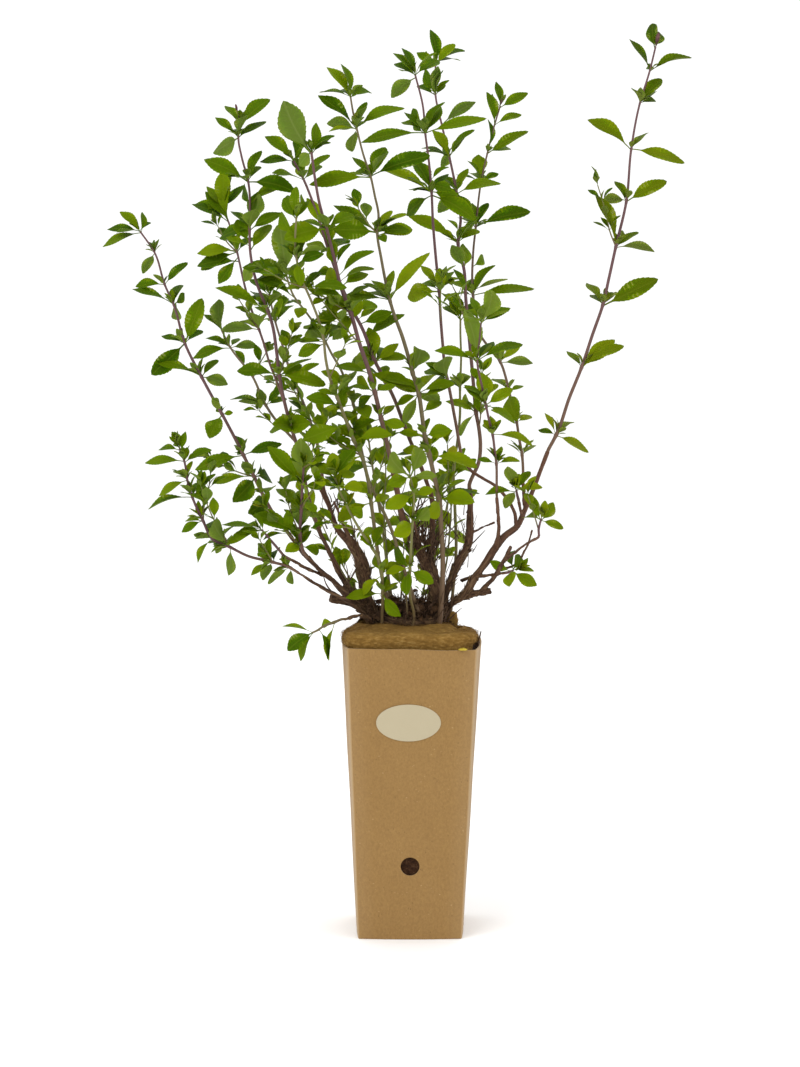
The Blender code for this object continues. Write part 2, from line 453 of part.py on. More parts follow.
def loft(name, rings, collection, finish=None, closed=False, caps=(True, True)):
    """Skin over rings with equal numbers of points. A closed one joins its last ring to its first."""
    shape = bmesh.new()
    loops = [[shape.verts.new(point) for point in ring] for ring in rings]
    count = len(rings[0])
    pairs = list(zip(loops, loops[1:])) + ([(loops[-1], loops[0])] if closed else [])
    for lower, upper in pairs:
        for i in range(count):
            j = (i + 1) % count
            shape.faces.new((lower[i], lower[j], upper[j], upper[i]))
    if not closed:
        if caps[0]:
            shape.faces.new(loops[0][::-1])
        if caps[1]:
            shape.faces.new(loops[-1])
    bmesh.ops.recalc_face_normals(shape, faces=shape.faces)
    mesh = bpy.data.meshes.new(name)
    shape.to_mesh(mesh)
    shape.free()
    return add_object(name, mesh, collection, finish)


def boolean(thing, cutter, operation="DIFFERENCE"):
    change = thing.modifiers.new("Cut", "BOOLEAN")
    change.operation = operation
    change.solver = "EXACT"
    if isinstance(cutter, bpy.types.Collection):
        change.operand_type = "COLLECTION"
        change.collection = cutter
    else:
        change.object = cutter


def apply_modifiers(thing):
    graph = bpy.context.evaluated_depsgraph_get()
    done = bpy.data.meshes.new_from_object(thing.evaluated_get(graph))
    shape = bmesh.new()
    shape.from_mesh(done)
    bmesh.ops.dissolve_limit(shape, angle_limit=FLAT_ENOUGH, verts=shape.verts, edges=shape.edges)
    bmesh.ops.triangulate(shape, faces=shape.faces, ngon_method="BEAUTY")
    shape.to_mesh(done)
    shape.free()
    thing.modifiers.clear()
    thing.data = done


def guide(thing):
    thing.hide_render = True
    thing.display_type = "WIRE"
    return thing


def wall_share(height):
    return height / POT_HEIGHT


def corner_at(height):
    return POT_FOOT_CORNER + (POT_RIM_CORNER - POT_FOOT_CORNER) * wall_share(height)


def side_at(height):
    return POT_FOOT_SIDE + (POT_RIM_SIDE - POT_FOOT_SIDE) * wall_share(height)


def wall_at(along, height, inset=0.0):
    """How far a wall stands from the pot's axis at this place along it."""
    corner = corner_at(height)
    return corner + (side_at(height) - corner) * (1 - (along / corner) ** 2) - inset


def pot_outline(height, inset=0.0, lift=None):
    """One turn round the pot: each side bulges, and each fold is a small arc."""
    points = []
    corner = corner_at(height)
    for quarter in range(4):
        turn = Matrix.Rotation(math.radians(90 * quarter), 3, "Z")
        for share in (-0.94, -0.62, -0.31, 0, 0.31, 0.62, 0.94):
            along = share * corner
            points.append(turn @ Vector((along, -wall_at(along, height, inset), 0)))
        fold = Vector((corner, -corner, 0)) + Vector((-1, 1, 0)) * (inset + 0.35 * POT_FOLD_RADIUS)
        points.append(turn @ fold)
    for index, point in enumerate(points):
        wave = POT_RIM_WAVE * math.sin(index * 1.7) if lift else 0
        point.z = height + wave
    return points


def make_pot(parts, cutters):
    levels = [0, 0.9 * POT_HEIGHT]
    rings = [pot_outline(level) for level in levels] + [pot_outline(POT_HEIGHT, lift=True)]
    pot = loft("carton_pot", rings, parts, material("Carton", (0.39, 0.23, 0.09), 0.9), caps=(True, False))
    wall = pot.modifiers.new("Board", "SOLIDIFY")
    wall.thickness = POT_WALL
    wall.offset = -1
    wall.use_even_offset = True
    shape = bmesh.new()
    drill = Matrix.Translation((0, -corner_at(HOLE_HEIGHT), HOLE_HEIGHT))
    drill @= Matrix.Rotation(math.pi / 2, 4, "X")
    bmesh.ops.create_cone(shape, cap_ends=True, segments=20, radius1=HOLE_RADIUS, radius2=HOLE_RADIUS,
                          depth=24 * MM, matrix=drill)
    mesh = bpy.data.meshes.new("hole_cutter")
    shape.to_mesh(mesh)
    shape.free()
    boolean(pot, guide(add_object("hole_cutter", mesh, cutters)))


def make_label(parts):
    """A thin oval that follows the front wall's curve, laid on with a seat gap."""
    shape = bmesh.new()
    columns = []
    for i in range(LABEL_COLUMNS + 1):
        angle = math.pi * i / LABEL_COLUMNS
        x = LABEL_CENTRE.x - LABEL_HALF_WIDTH * math.cos(angle)
        half = max(LABEL_HALF_HEIGHT * math.sin(angle), LABEL_END_HALF_HEIGHT)
        ends = (LABEL_CENTRE.y - half, LABEL_CENTRE.y + half)
        columns.append([shape.verts.new((x, -wall_at(x, z) - SEAT_GAP, z)) for z in ends])
    for left, right in zip(columns, columns[1:]):
        shape.faces.new((left[0], right[0], right[1], left[1]))
    mesh = bpy.data.meshes.new("oval_label")
    shape.to_mesh(mesh)
    shape.free()
    label = add_object("oval_label", mesh, parts, material("Label paper", (0.60, 0.53, 0.34), 0.7))
    sheet = label.modifiers.new("Paper", "SOLIDIFY")
    sheet.thickness = LABEL_THICKNESS
    sheet.offset = 1


def oval(height, half_width, half_depth, count, phase=0.0):
    turns = [phase + 2 * math.pi * i / count for i in range(count)]
    return [Vector((OPENING_CENTRE.x + half_width * math.cos(t), OPENING_CENTRE.y + half_depth * math.sin(t),
                    height)) for t in turns]


def square_towards(angle, half, roundness=5.0):
    """A point on a rounded square in this direction."""
    c, s = math.cos(angle), math.sin(angle)
    reach = half / (abs(c) ** roundness + abs(s) ** roundness) ** (1 / roundness)
    return Vector((reach * c, reach * s, 0))


def make_mat(parts):
    """A felted fibre pillow, a closed ring: under side, rounded shoulder, top, and the crown's opening."""
    rings = []
    for share, height, half in MAT_PROFILE:
        ring = []
        for i in range(MAT_SIDES):
            angle = 2 * math.pi * i / MAT_SIDES
            outer = square_towards(angle, half)
            inner = Vector((OPENING_CENTRE.x + OPENING_HALF_WIDTH * math.cos(angle),
                            OPENING_CENTRE.y + OPENING_HALF_DEPTH * math.sin(angle), 0))
            point = outer.lerp(inner, share)
            point.z = height
            if height > MAT_UNEVEN_ABOVE:
                across = (point.x - MAT_FLAP_PLACE.x) / MAT_FLAP_SPREAD.x
                deep = (point.y - MAT_FLAP_PLACE.y) / MAT_FLAP_SPREAD.y
                wave = math.sin(point.x * 150 + 1.3) * math.sin(point.y * 130 + 0.4)
                point.z += MAT_FLAP_RISE * math.exp(-across ** 2 - deep ** 2) + MAT_WAVE * wave
            ring.append(point)
        rings.append(ring)
    return loft("fibre_mat", rings, parts, material("Fibre mat", (0.25, 0.15, 0.05), 1.0), closed=True)


def make_soil(parts):
    """The root ball that fills the pot, with the crown's mound rising through the mat."""
    inset = POT_WALL + 2 * SEAT_GAP
    rings = [pot_outline(POT_WALL + SEAT_GAP, inset), pot_outline(SOIL_LEVEL, inset)]
    count = len(rings[0])
    start = math.atan2(rings[0][0].y, rings[0][0].x)
    for share, height in SOIL_MOUND:
        rings.append(oval(height, OPENING_HALF_WIDTH * share, OPENING_HALF_DEPTH * share, count, start))
    return loft("soil", rings, parts, material("Soil", (0.035, 0.017, 0.009), 1.0))


def tube(name, points, collection, finish=None, square=True):
    """A tapered round or square rod along points that each carry a diameter, as a closed mesh."""
    curve = bpy.data.curves.new(name, "CURVE")
    curve.dimensions = "3D"
    curve.bevel_depth = 1.0
    curve.bevel_resolution = 0 if square else 1
    curve.use_fill_caps = True
    spline = curve.splines.new("POLY")
    spline.points.add(len(points) - 1)
    for spot, (place, diameter) in zip(spline.points, points):
        spot.co = (*place, 1)
        spot.radius = diameter / 2
    rod = bpy.data.objects.new(name + "_curve", curve)
    collection.objects.link(rod)
    mesh = bpy.data.meshes.new_from_object(rod.evaluated_get(bpy.context.evaluated_depsgraph_get()))
    mesh.name = name
    bpy.data.objects.remove(rod)
    shape = bmesh.new()
    shape.from_mesh(mesh)
    bmesh.ops.remove_doubles(shape, verts=shape.verts, dist=0.01 * MM)
    bmesh.ops.recalc_face_normals(shape, faces=shape.faces)
    shape.to_mesh(mesh)
    shape.free()
    return add_object(name, mesh, collection, finish)


def wood_points(branch):
    return simpler([(seen_at(x, z, depth), diameter * MM) for x, z, depth, diameter in branch])


def simpler(route):
    """The route without the points that lie almost on the straight line between their neighbours."""
    if len(route) < 3:
        return route
    (start, first), (end, last) = route[0], route[-1]
    worst, split = STRAIGHT_ENOUGH, None
    for index, (place, diameter) in enumerate(route[1:-1], 1):
        share = (place - start).dot(end - start) / (end - start).length_squared
        off = (place - start.lerp(end, share)).length + abs(diameter - first - (last - first) * share) / 2
        if off > worst:
            worst, split = off, index
    if split is None:
        return [route[0], route[-1]]
    return simpler(route[:split + 1])[:-1] + simpler(route[split:])


def sleeve_points(route):
    """The plain hole that a foot stands in: wider all round and a little deeper."""
    (foot, diameter), (above, _) = route[:2]
    deeper = foot - (above - foot).normalized() * 2 * SEAT_GAP
    return [(deeper, diameter + 3 * SEAT_GAP)] + [(place, wide + 3 * SEAT_GAP) for place, wide in route[1:4]]


def make_wood(parts, scraps, cutters, finish):
    """Each trunk with its limbs, joined in one body, and a cutter for the hole that it stands in."""
    for name, branches in WOOD.items():
        rods = [tube(f"{name}_{part}", wood_points(branch), scraps, square=branch[0][3] < THINNEST_ROUND)
                for part, branch in branches.items()]
        join(name, rods, parts, scraps, finish)
        for part, branch in branches.items():
            if branch[0][1] < SOIL_LEVEL / MM:
                guide(tube(f"{name}_{part}_hole", sleeve_points(wood_points(branch)), cutters, square=False))


def join(name, pieces, parts, scraps, finish):
    """One Boolean union of the pieces, applied, with the pieces then removed."""
    body = add_object(name, pieces[0].data.copy(), parts, finish)
    bpy.data.objects.remove(pieces[0])
    if len(scraps.objects):
        boolean(body, scraps, "UNION")
        apply_modifiers(body)
    for piece in list(scraps.objects):
        bpy.data.objects.remove(piece)
    return body


def stem_route(stem):
    """The points of a stem as (place, diameter), and which of them each listed point became."""
    listed = [(point[0], point[1]) for point in stem["points"]]
    thick_low, thick_high = stem["thick"]
    top = listed[-1][1]
    if isinstance(stem["from"][0], str):
        wood, branch = stem["from"]
        below, end = WOOD[wood][branch][-2:]
        end_place = seen_at(*end[:3])
        way = (end_place - seen_at(*below[:3])).normalized()
        route = [(end_place + way * reach, thick_low * MM) for reach in (STEM_SEAT, STEM_SEAT_END)]
        low, low_depth = end[1], end[2]
    else:
        foot_x, low_depth = stem["from"]
        route = [(seen_at(foot_x, STEM_FOOT, low_depth), thick_low * MM)]
        low = STEMS_LEAN_FROM
        end = (foot_x, low)
    offset = len(route)
    full = abs(top - low) + abs(listed[-1][0] - end[0])
    for x, z in listed:
        share = min(1.0, (abs(z - low) + abs(x - end[0])) / full) if z > low or top < low else 0.0
        depth = low_depth + (stem["tip_depth"] - low_depth) * share
        thick = thick_low + (thick_high - thick_low) * share
        route.append((seen_at(x, z, depth), thick * MM))
    return route, offset


def side_route(route, offset, side, thick):
    """The smaller stem that leaves another at one of its points."""
    start = route[offset + side["at"]][0]
    listed = [(point[0], point[1]) for point in side["points"]]
    start_depth = start.y / MM
    low, top = start.z / MM, listed[-1][1]
    points = [(start, thick * MM)]
    for x, z in listed:
        share = max(0.0, min(1.0, (z - low) / (top - low)))
        points.append((seen_at(x, z, start_depth + (side["tip_depth"] - start_depth) * share), thick * MM))
    return points


def leaf_frame(root, tip, seen_width, true_width):
    """The blade's cross direction and upper normal, rolled to show the width seen from the front."""
    way = (tip - root).normalized()
    sight = ((root + tip) / 2 - EYE).normalized()
    across = sight.cross(way)
    across = across.normalized() if across.length > 0.05 else Vector((1, 0, 0))
    along_sight = way.cross(across)
    roll = min(1.0, abs(seen_width) / true_width)
    flat = math.sqrt(1 - roll * roll)
    best = None
    for sign in (1, -1):
        side = across * roll * sign + along_sight * flat
        normal = way.cross(side)
        if normal.z < 0 and abs(normal.z) > 0.08:
            side, normal = -side, -normal
        faces_eye = -normal.dot(sight)
        score = faces_eye if seen_width > 0 else -faces_eye
        if best is None or score > best[0]:
            best = (score, side, normal)
    return best[1], best[2]


def blade(root, tip, side, normal, width, grow=0.0):
    """Points and triangles of one thin leaf: petiole, ridged faces, sharp edge, and an arch to its tip."""
    length = (tip - root).length
    up = Vector((0, 0, 1))
    way = (tip - root).normalized()
    lift = up - way * up.dot(way)
    arch = BIG_LEAF_ARCH if width >= BIG_LEAF_WIDTH else LEAF_ARCH
    bend = (root + tip) / 2 + normal * (arch * length) + lift * (LEAF_LIFT * length)
    if width >= BIG_LEAF_WIDTH:
        stations = BIG_LEAF
    elif width >= SMALL_LEAF_WIDTH:
        stations = MIDDLE_LEAF
    else:
        stations = SMALL_LEAF
    points, faces = [], []
    top = bottom = left = right = None
    for index, (t, share, ridged) in enumerate(stations):
        centre = root * (1 - t) ** 2 + bend * 2 * t * (1 - t) + tip * t * t
        half = max(share * width / 2, PETIOLE_HALF_WIDTH) + grow
        fold = LEAF_FOLD * half if share else 0
        wave = EDGE_WAVES[index % 2] if share else 0
        if index == len(stations) - 1:
            points.append(centre + way * grow)
            end = len(points) - 1
            faces += [(top, left, end), (top, end, right), (bottom, end, left), (bottom, right, end)]
            continue
        new_left, new_right = len(points), len(points) + 1
        points.append(centre + side * half + normal * (fold + wave))
        points.append(centre - side * half + normal * (fold - wave))
        if ridged:
            thick = RIDGE_THICKNESS / 2 * (1 if share else 0.85) + grow
            new_top, new_bottom = len(points), len(points) + 1
            points += [centre + normal * thick, centre - normal * thick]
        if not index:
            faces.append((new_left, new_top, new_right, new_bottom))
        elif not share:
            faces += [(top, left, new_left, new_top), (top, new_top, new_right, right)]
            faces += [(bottom, new_bottom, new_left, left), (bottom, right, new_right, new_bottom)]
        else:
            faces += [(top, left, new_left), (top, new_right, right)]
            faces += [(bottom, new_left, left), (bottom, right, new_right)]
            if ridged:
                faces += [(top, new_left, new_top), (top, new_top, new_right)]
                faces += [(bottom, new_bottom, new_left), (bottom, new_right, new_bottom)]
        if ridged:
            top, bottom = new_top, new_bottom
        left, right = new_left, new_right
    return points, faces


class Room:
    """What is already placed, to keep new leaves clear of it."""

    def __init__(self):
        self.taken = []
        self.outer = []

    @staticmethod
    def entry(owner, points, faces):
        low = Vector(map(min, zip(*points)))
        high = Vector(map(max, zip(*points)))
        return owner, low, high, BVHTree.FromPolygons(points, faces)

    @staticmethod
    def meets(one, other):
        if any(one[1][i] > other[2][i] or one[2][i] < other[1][i] for i in range(3)):
            return False
        return bool(one[3].overlap(other[3]))

    def add(self, owner, points, faces):
        self.taken.append(self.entry(owner, points, faces))

    def add_object(self, thing):
        graph = bpy.context.evaluated_depsgraph_get()
        mesh = bpy.data.meshes.new_from_object(thing.evaluated_get(graph))
        corners = [vert.co.copy() for vert in mesh.vertices]
        self.add(thing.name, corners, [tuple(face.vertices) for face in mesh.polygons])
        bpy.data.meshes.remove(mesh)

    def take(self, owner, whole, outer, alone):
        """Places a leaf if it is clear of the other nodes and, where asked, of its own stem's blades."""
        new, new_outer = self.entry(owner, *whole), self.entry(owner, *outer)
        if any(other[0] != owner and self.meets(new, other) for other in self.taken):
            return False
        if alone and any(other[0] == owner and self.meets(new_outer, other) for other in self.outer):
            return False
        self.taken.append(new)
        self.outer.append(new_outer)
        return True


def sleeve_of(route, radius_more):
    """A plain square sleeve round a route, only to test leaves against."""
    points, faces = [], []
    for index, (place, diameter) in enumerate(route):
        ahead = route[min(index + 1, len(route) - 1)][0] - route[max(index - 1, 0)][0]
        ahead.normalize()
        x = ahead.cross(Vector((0, 1, 0))).normalized()
        y = ahead.cross(x)
        reach = diameter / 2 + radius_more
        points += [place + x * reach, place + y * reach, place - x * reach, place - y * reach]
        if index:
            base = 4 * (index - 1)
            faces += [(base + i, base + (i + 1) % 4, base + 4 + (i + 1) % 4, base + 4 + i) for i in range(4)]
    return points, faces


def fit_leaf(room, owner, root, tip, seen_width, true_width):
    """The leaf's points and faces, turned a little where it would cross what is there, or None."""
    for alone in (True, False):
        for turn, tilt in TRIES:
            arm = Matrix.Rotation(math.radians(turn), 3, "Z") @ (tip - root)
            level = arm.cross(Vector((0, 0, 1)))
            if level.length > 1e-6:
                arm = Matrix.Rotation(math.radians(tilt), 3, level.normalized()) @ arm
            end = root + arm
            side, normal = leaf_frame(root, end, seen_width, true_width)
            whole = blade(root, end, side, normal, true_width, LEAF_CLEARANCE)
            outer = blade(root + arm * 0.3, end, side, normal, true_width)
            if room.take(owner, whole, outer, alone):
                return blade(root, end, side, normal, true_width)
    return None


def listed_leaves(route, offset, points, rng):
    """The stem's own leaves as (root, tip, width seen, true width)."""
    leaves = []
    last = len(points) - 1
    for index, point in enumerate(points):
        place = route[offset + index][0]
        below = route[offset + index - 1][0]
        if index == last:
            place = place - (place - below).normalized() * TOP_NODE_DROP
        for tip_x, tip_z, seen_width, turn in point[2:]:
            stagger = rng.uniform(-1, 1) * MM
            root = place + (place - below).normalized() * stagger
            if abs(seen_width) < NARROWEST_CUT_LEAF:
                continue
            level_tip = seen_at(tip_x, tip_z, root.y / MM)
            apparent = (level_tip - root).length
            length = max(apparent, (LENGTH_PER_WIDTH * abs(seen_width) + LENGTH_ALLOWANCE) * MM)
            away = math.copysign(math.sqrt(length * length - apparent * apparent), turn)
            depth = (root.y + away * min(1, abs(turn) * 3)) / MM + turn * DEPTH_PER_TURN
            tip = seen_at(tip_x, tip_z, depth)
            long = (tip - root).length
            true_width = max(abs(seen_width) * MM, min(WIDTH_PER_LENGTH * long, WIDEST_LEAF))
            leaves.append((root, tip, seen_width * MM, true_width))
    return leaves


def far_leaves(route, offset, points, rng):
    """Leaves on the far side, where a rule places them."""
    leaves = []
    for index, point in enumerate(points):
        chance = rng.random()
        swing = rng.uniform(-FAR_SWING, FAR_SWING)
        reach = rng.uniform(*FAR_LENGTH) * MM
        climb = rng.random()
        if len(point) < 3 or chance > FAR_SHARE:
            continue
        root = route[offset + index][0]
        angle = math.radians(90 + swing)
        arm = Vector((math.cos(angle), math.sin(angle), 0.1 + 0.6 * climb)).normalized() * reach
        leaves.append((root, root + arm, FAR_SEEN_WIDTH * reach, WIDTH_PER_LENGTH * reach))
    return leaves


def blade_object(name, points, faces, scraps):
    shape = bmesh.new()
    verts = [shape.verts.new(point) for point in points]
    for face in faces:
        shape.faces.new([verts[i] for i in face])
    bmesh.ops.recalc_face_normals(shape, faces=shape.faces)
    mesh = bpy.data.meshes.new(name)
    shape.to_mesh(mesh)
    shape.free()
    return add_object(name, mesh, scraps)


def plan_stems():
    """Every stem's routes, with the points that carry its leaves."""
    plans = {}
    for name, stem in STEMS.items():
        route, offset = stem_route(stem)
        plans[name] = [(route, offset, stem["points"])]
        if "side" in stem:
            side = stem["side"]
            plans[name].append((side_route(route, offset, side, stem["thick"][1]), 1, side["points"]))
    return plans


def plain_route(route):
    """A stem's simpler route, with its squared lower end kept."""
    return route[:1] + simpler(route[1:])


def make_stems(parts, scraps, cutters, room, finish):
    plans = plan_stems()
    for name, branches in plans.items():
        for route, _, _ in branches:
            room.add(name, *sleeve_of(route, SEAT_GAP))
    blades = {name: [] for name in plans}
    left_out = []
    for rule, seed in ((listed_leaves, 7), (far_leaves, 19)):
        rng = random.Random(seed)
        for name, branches in plans.items():
            for route, offset, points in branches:
                for leaf in rule(route, offset, points, rng):
                    fitted = fit_leaf(room, name, *leaf)
                    if fitted:
                        blades[name].append(fitted)
                    else:
                        left_out.append((name, rule.__name__))
    for name, branches in plans.items():
        rods = [tube(f"{name}_{i}", plain_route(route), scraps) for i, (route, _, _) in enumerate(branches)]
        for i, (points, faces) in enumerate(blades[name]):
            blade_object(f"{name}_leaf_{i}", points, faces, scraps)
        join(name, rods, parts, scraps, finish)
        if not isinstance(STEMS[name]["from"][0], str):
            guide(tube(f"{name}_hole", sleeve_points(simpler(branches[0][0])), cutters))
    print(sum(map(len, blades.values())), "leaves,", len(left_out), "left out:", left_out)


def main():
    clear_scene()
    parts = new_collection("potted_autumn_sage")
    cutters = new_collection("cutters")
    holes = new_collection("soil_holes")
    scraps = new_collection("scraps")
    make_pot(parts, cutters)
    make_label(parts)
    mat = make_mat(parts)
    soil = make_soil(parts)
    wood = material("Old wood", (0.10, 0.055, 0.028), 0.9)
    green = material("Leaf", (0.09, 0.19, 0.015), 0.5)
    make_wood(parts, scraps, holes, wood)
    room = Room()
    for name in ("carton_pot", "fibre_mat", "soil", *WOOD):
        room.add_object(bpy.data.objects[name])
    make_stems(parts, scraps, holes, room, green)
    twig = wood_points(CORNER_TWIG)
    tube("corner_twig", twig, parts, wood)
    boolean(soil, holes)
    boolean(mat, guide(tube("corner_twig_hole", sleeve_points(twig), cutters)))


main()
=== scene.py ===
# Potted autumn sage, Blender 4.5: the looks of every piece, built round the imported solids.
# All lengths are metres unless a table says millimetres. The camera stands on the -Y side.
import json
import random
from math import atan2, copysign, cos, exp, pi, radians, sin, sqrt, tau

import bmesh
import bpy
from mathutils import Matrix, Vector, kdtree, noise

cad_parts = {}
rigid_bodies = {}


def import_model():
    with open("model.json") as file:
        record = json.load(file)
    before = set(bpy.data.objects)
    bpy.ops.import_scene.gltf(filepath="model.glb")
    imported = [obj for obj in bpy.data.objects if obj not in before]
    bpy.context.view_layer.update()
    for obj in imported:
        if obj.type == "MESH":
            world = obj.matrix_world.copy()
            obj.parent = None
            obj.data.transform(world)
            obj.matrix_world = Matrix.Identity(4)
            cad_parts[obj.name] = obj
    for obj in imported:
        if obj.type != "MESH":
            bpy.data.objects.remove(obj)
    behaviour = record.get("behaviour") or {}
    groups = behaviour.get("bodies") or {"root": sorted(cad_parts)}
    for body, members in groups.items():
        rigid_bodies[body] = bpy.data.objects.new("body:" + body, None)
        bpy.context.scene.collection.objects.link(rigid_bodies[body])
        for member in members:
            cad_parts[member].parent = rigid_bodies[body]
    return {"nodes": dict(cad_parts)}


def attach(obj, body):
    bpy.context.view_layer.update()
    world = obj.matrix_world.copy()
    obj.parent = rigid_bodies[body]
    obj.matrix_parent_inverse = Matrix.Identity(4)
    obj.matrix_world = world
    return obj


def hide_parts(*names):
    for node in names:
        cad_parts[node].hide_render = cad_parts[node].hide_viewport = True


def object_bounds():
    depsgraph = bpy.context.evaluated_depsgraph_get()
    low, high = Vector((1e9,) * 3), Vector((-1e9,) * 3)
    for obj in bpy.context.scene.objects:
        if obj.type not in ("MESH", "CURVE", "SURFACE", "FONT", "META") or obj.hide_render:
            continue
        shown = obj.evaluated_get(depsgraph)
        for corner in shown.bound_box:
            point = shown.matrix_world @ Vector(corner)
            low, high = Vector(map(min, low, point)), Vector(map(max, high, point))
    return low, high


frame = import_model()
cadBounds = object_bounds()
mm = 0.001
cameraEye = Vector((-8.0, -2188.0, 551.1)) * mm
print("frame loaded:", len(frame["nodes"]), "nodes")


# General helpers

def seenAt(x, z, depth):
    # the point this deep that shows at (x, z) on the upright plane through the pot's middle, in millimetres
    spread = (depth * mm - cameraEye.y) / -cameraEye.y
    return Vector((cameraEye.x + (x * mm - cameraEye.x) * spread, depth * mm,
                   cameraEye.z + (z * mm - cameraEye.z) * spread))


def addObject(name, data):
    made = bpy.data.objects.new(name, data)
    bpy.context.scene.collection.objects.link(made)
    return made


def meshFromShape(name, shape):
    mesh = bpy.data.meshes.new(name)
    shape.to_mesh(mesh)
    shape.free()
    return mesh


def smoothAll(mesh):
    mesh.polygons.foreach_set("use_smooth", [True] * len(mesh.polygons))


def objectFromShape(name, shape, smooth=True):
    # a closed shape as an object, its faces turned outwards
    bmesh.ops.recalc_face_normals(shape, faces=shape.faces)
    made = addObject(name, meshFromShape(name, shape))
    if smooth:
        smoothAll(made.data)
    return made


def setValues(mesh, name, kind, values):
    # one attribute for every point of a mesh
    field = "vector" if kind == "FLOAT_VECTOR" else "value"
    mesh.attributes.new(name, kind, "POINT").data.foreach_set(field, values)


def applyModifiers(made):
    # the evaluated result becomes a plain mesh, and the modifiers go
    graph = bpy.context.evaluated_depsgraph_get()
    done = bpy.data.meshes.new_from_object(made.evaluated_get(graph))
    done.name = made.name
    made.modifiers.clear()
    old = made.data
    made.data = done
    bpy.data.meshes.remove(old)
    return made


def finishPiece(made, slotName, *nodes):
    if nodes:
        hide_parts(*nodes)
    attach(made, "root")


def newTree(name, sockets):
    # a Geometry Nodes tree with named inputs, given as label: (socket type, value)
    tree = bpy.data.node_groups.new(name, "GeometryNodeTree")
    tree.interface.new_socket("Geometry", in_out="INPUT", socket_type="NodeSocketGeometry")
    tree.interface.new_socket("Geometry", in_out="OUTPUT", socket_type="NodeSocketGeometry")
    for label, (kind, value) in sockets.items():
        socket = tree.interface.new_socket(label, in_out="INPUT", socket_type=kind)
        if value is not None:
            socket.default_value = value
    return tree, tree.nodes.new("NodeGroupInput"), tree.nodes.new("NodeGroupOutput")


def place(tree, kind, inputs, **settings):
    # one node, its settings, and its inputs as values or as sockets to link
    made = tree.nodes.new(kind)
    for key, value in settings.items():
        setattr(made, key, value)
    for key, value in inputs.items():
        if isinstance(value, bpy.types.NodeSocket):
            tree.links.new(value, made.inputs[key])
        else:
            made.inputs[key].default_value = value
    return made


def put(tree, kind, inputs, output=0, **settings):
    # one node, by the output that is wanted of it
    return place(tree, kind, inputs, **settings).outputs[output]


def namedValue(tree, name, kind="FLOAT"):
    return put(tree, "GeometryNodeInputNamedAttribute", {"Name": name}, "Attribute", data_type=kind)


def runTree(made, tree, values):
    # a modifier with the tree, its inputs set by their identifiers
    modifier = made.modifiers.new(tree.name, "NODES")
    modifier.node_group = tree
    for item in tree.interface.items_tree:
        if item.in_out == "INPUT" and item.name in values:
            modifier[item.identifier] = values[item.name]


def closeTree(tree, end, geometry, material):
    solid = put(tree, "GeometryNodeRealizeInstances", {"Geometry": geometry})
    painted = put(tree, "GeometryNodeSetMaterial", {"Geometry": solid, "Material": material})
    tree.links.new(painted, end.inputs[0])


# Materials: every one is nodes only, on object coordinates, a UV map or a named attribute

def newMaterial(name, roughness, specular=0.3):
    made = bpy.data.materials.new(name)
    made.use_nodes = True
    tree = made.node_tree
    shader = tree.nodes["Principled BSDF"]
    shader.inputs["Roughness"].default_value = roughness
    shader.inputs["Specular IOR Level"].default_value = specular
    return made, tree, shader


def objectPlace(tree, scale=(1, 1, 1)):
    where = put(tree, "ShaderNodeTexCoord", {}, "Object")
    return put(tree, "ShaderNodeMapping", {"Vector": where, "Scale": scale})


def noiseValue(tree, where, scale, detail=4.0, roughness=0.55):
    return put(tree, "ShaderNodeTexNoise", {"Vector": where, "Scale": scale, "Detail": detail,
                                            "Roughness": roughness})


def ramp(tree, value, stops):
    # stops are (position, colour or grey)
    made = tree.nodes.new("ShaderNodeValToRGB")
    tree.links.new(value, made.inputs[0])
    band = made.color_ramp
    while len(band.elements) < len(stops):
        band.elements.new(0.5)
    for element, (position, colour) in zip(band.elements, stops):
        element.position = position
        element.color = (*colour, 1) if isinstance(colour, tuple) else (colour, colour, colour, 1)
    return made.outputs[0]


def mixColour(tree, share, low, high, mode="MIX"):
    # colours are sockets or (red, green, blue)
    low, high = ((*value, 1) if isinstance(value, tuple) else value for value in (low, high))
    return put(tree, "ShaderNodeMix", {0: share, 6: low, 7: high}, 2, data_type="RGBA", blend_type=mode)


def calc(tree, operation, *values):
    return put(tree, "ShaderNodeMath", dict(enumerate(values)), operation=operation)


def times(tree, value, factor):
    return calc(tree, "MULTIPLY", value, factor)


def attributeValue(tree, name, output="Fac"):
    return put(tree, "ShaderNodeAttribute", {}, output, attribute_name=name)


def axisValue(tree, axis, low, high):
    # 0 to 1 between two places along one of the object's axes
    where = put(tree, "ShaderNodeSeparateXYZ", {"Vector": objectPlace(tree)}, axis)
    return put(tree, "ShaderNodeMapRange", {"Value": where, "From Min": low, "From Max": high})


def paint(made, colour, height, distance, strength):
    # a material's colour, and the relief that bumps it
    tree, shader = made.node_tree, made.node_tree.nodes["Principled BSDF"]
    tree.links.new(colour, shader.inputs["Base Color"])
    relief = put(tree, "ShaderNodeBump", {"Height": height, "Distance": distance, "Strength": strength})
    tree.links.new(relief, shader.inputs["Normal"])
    return made


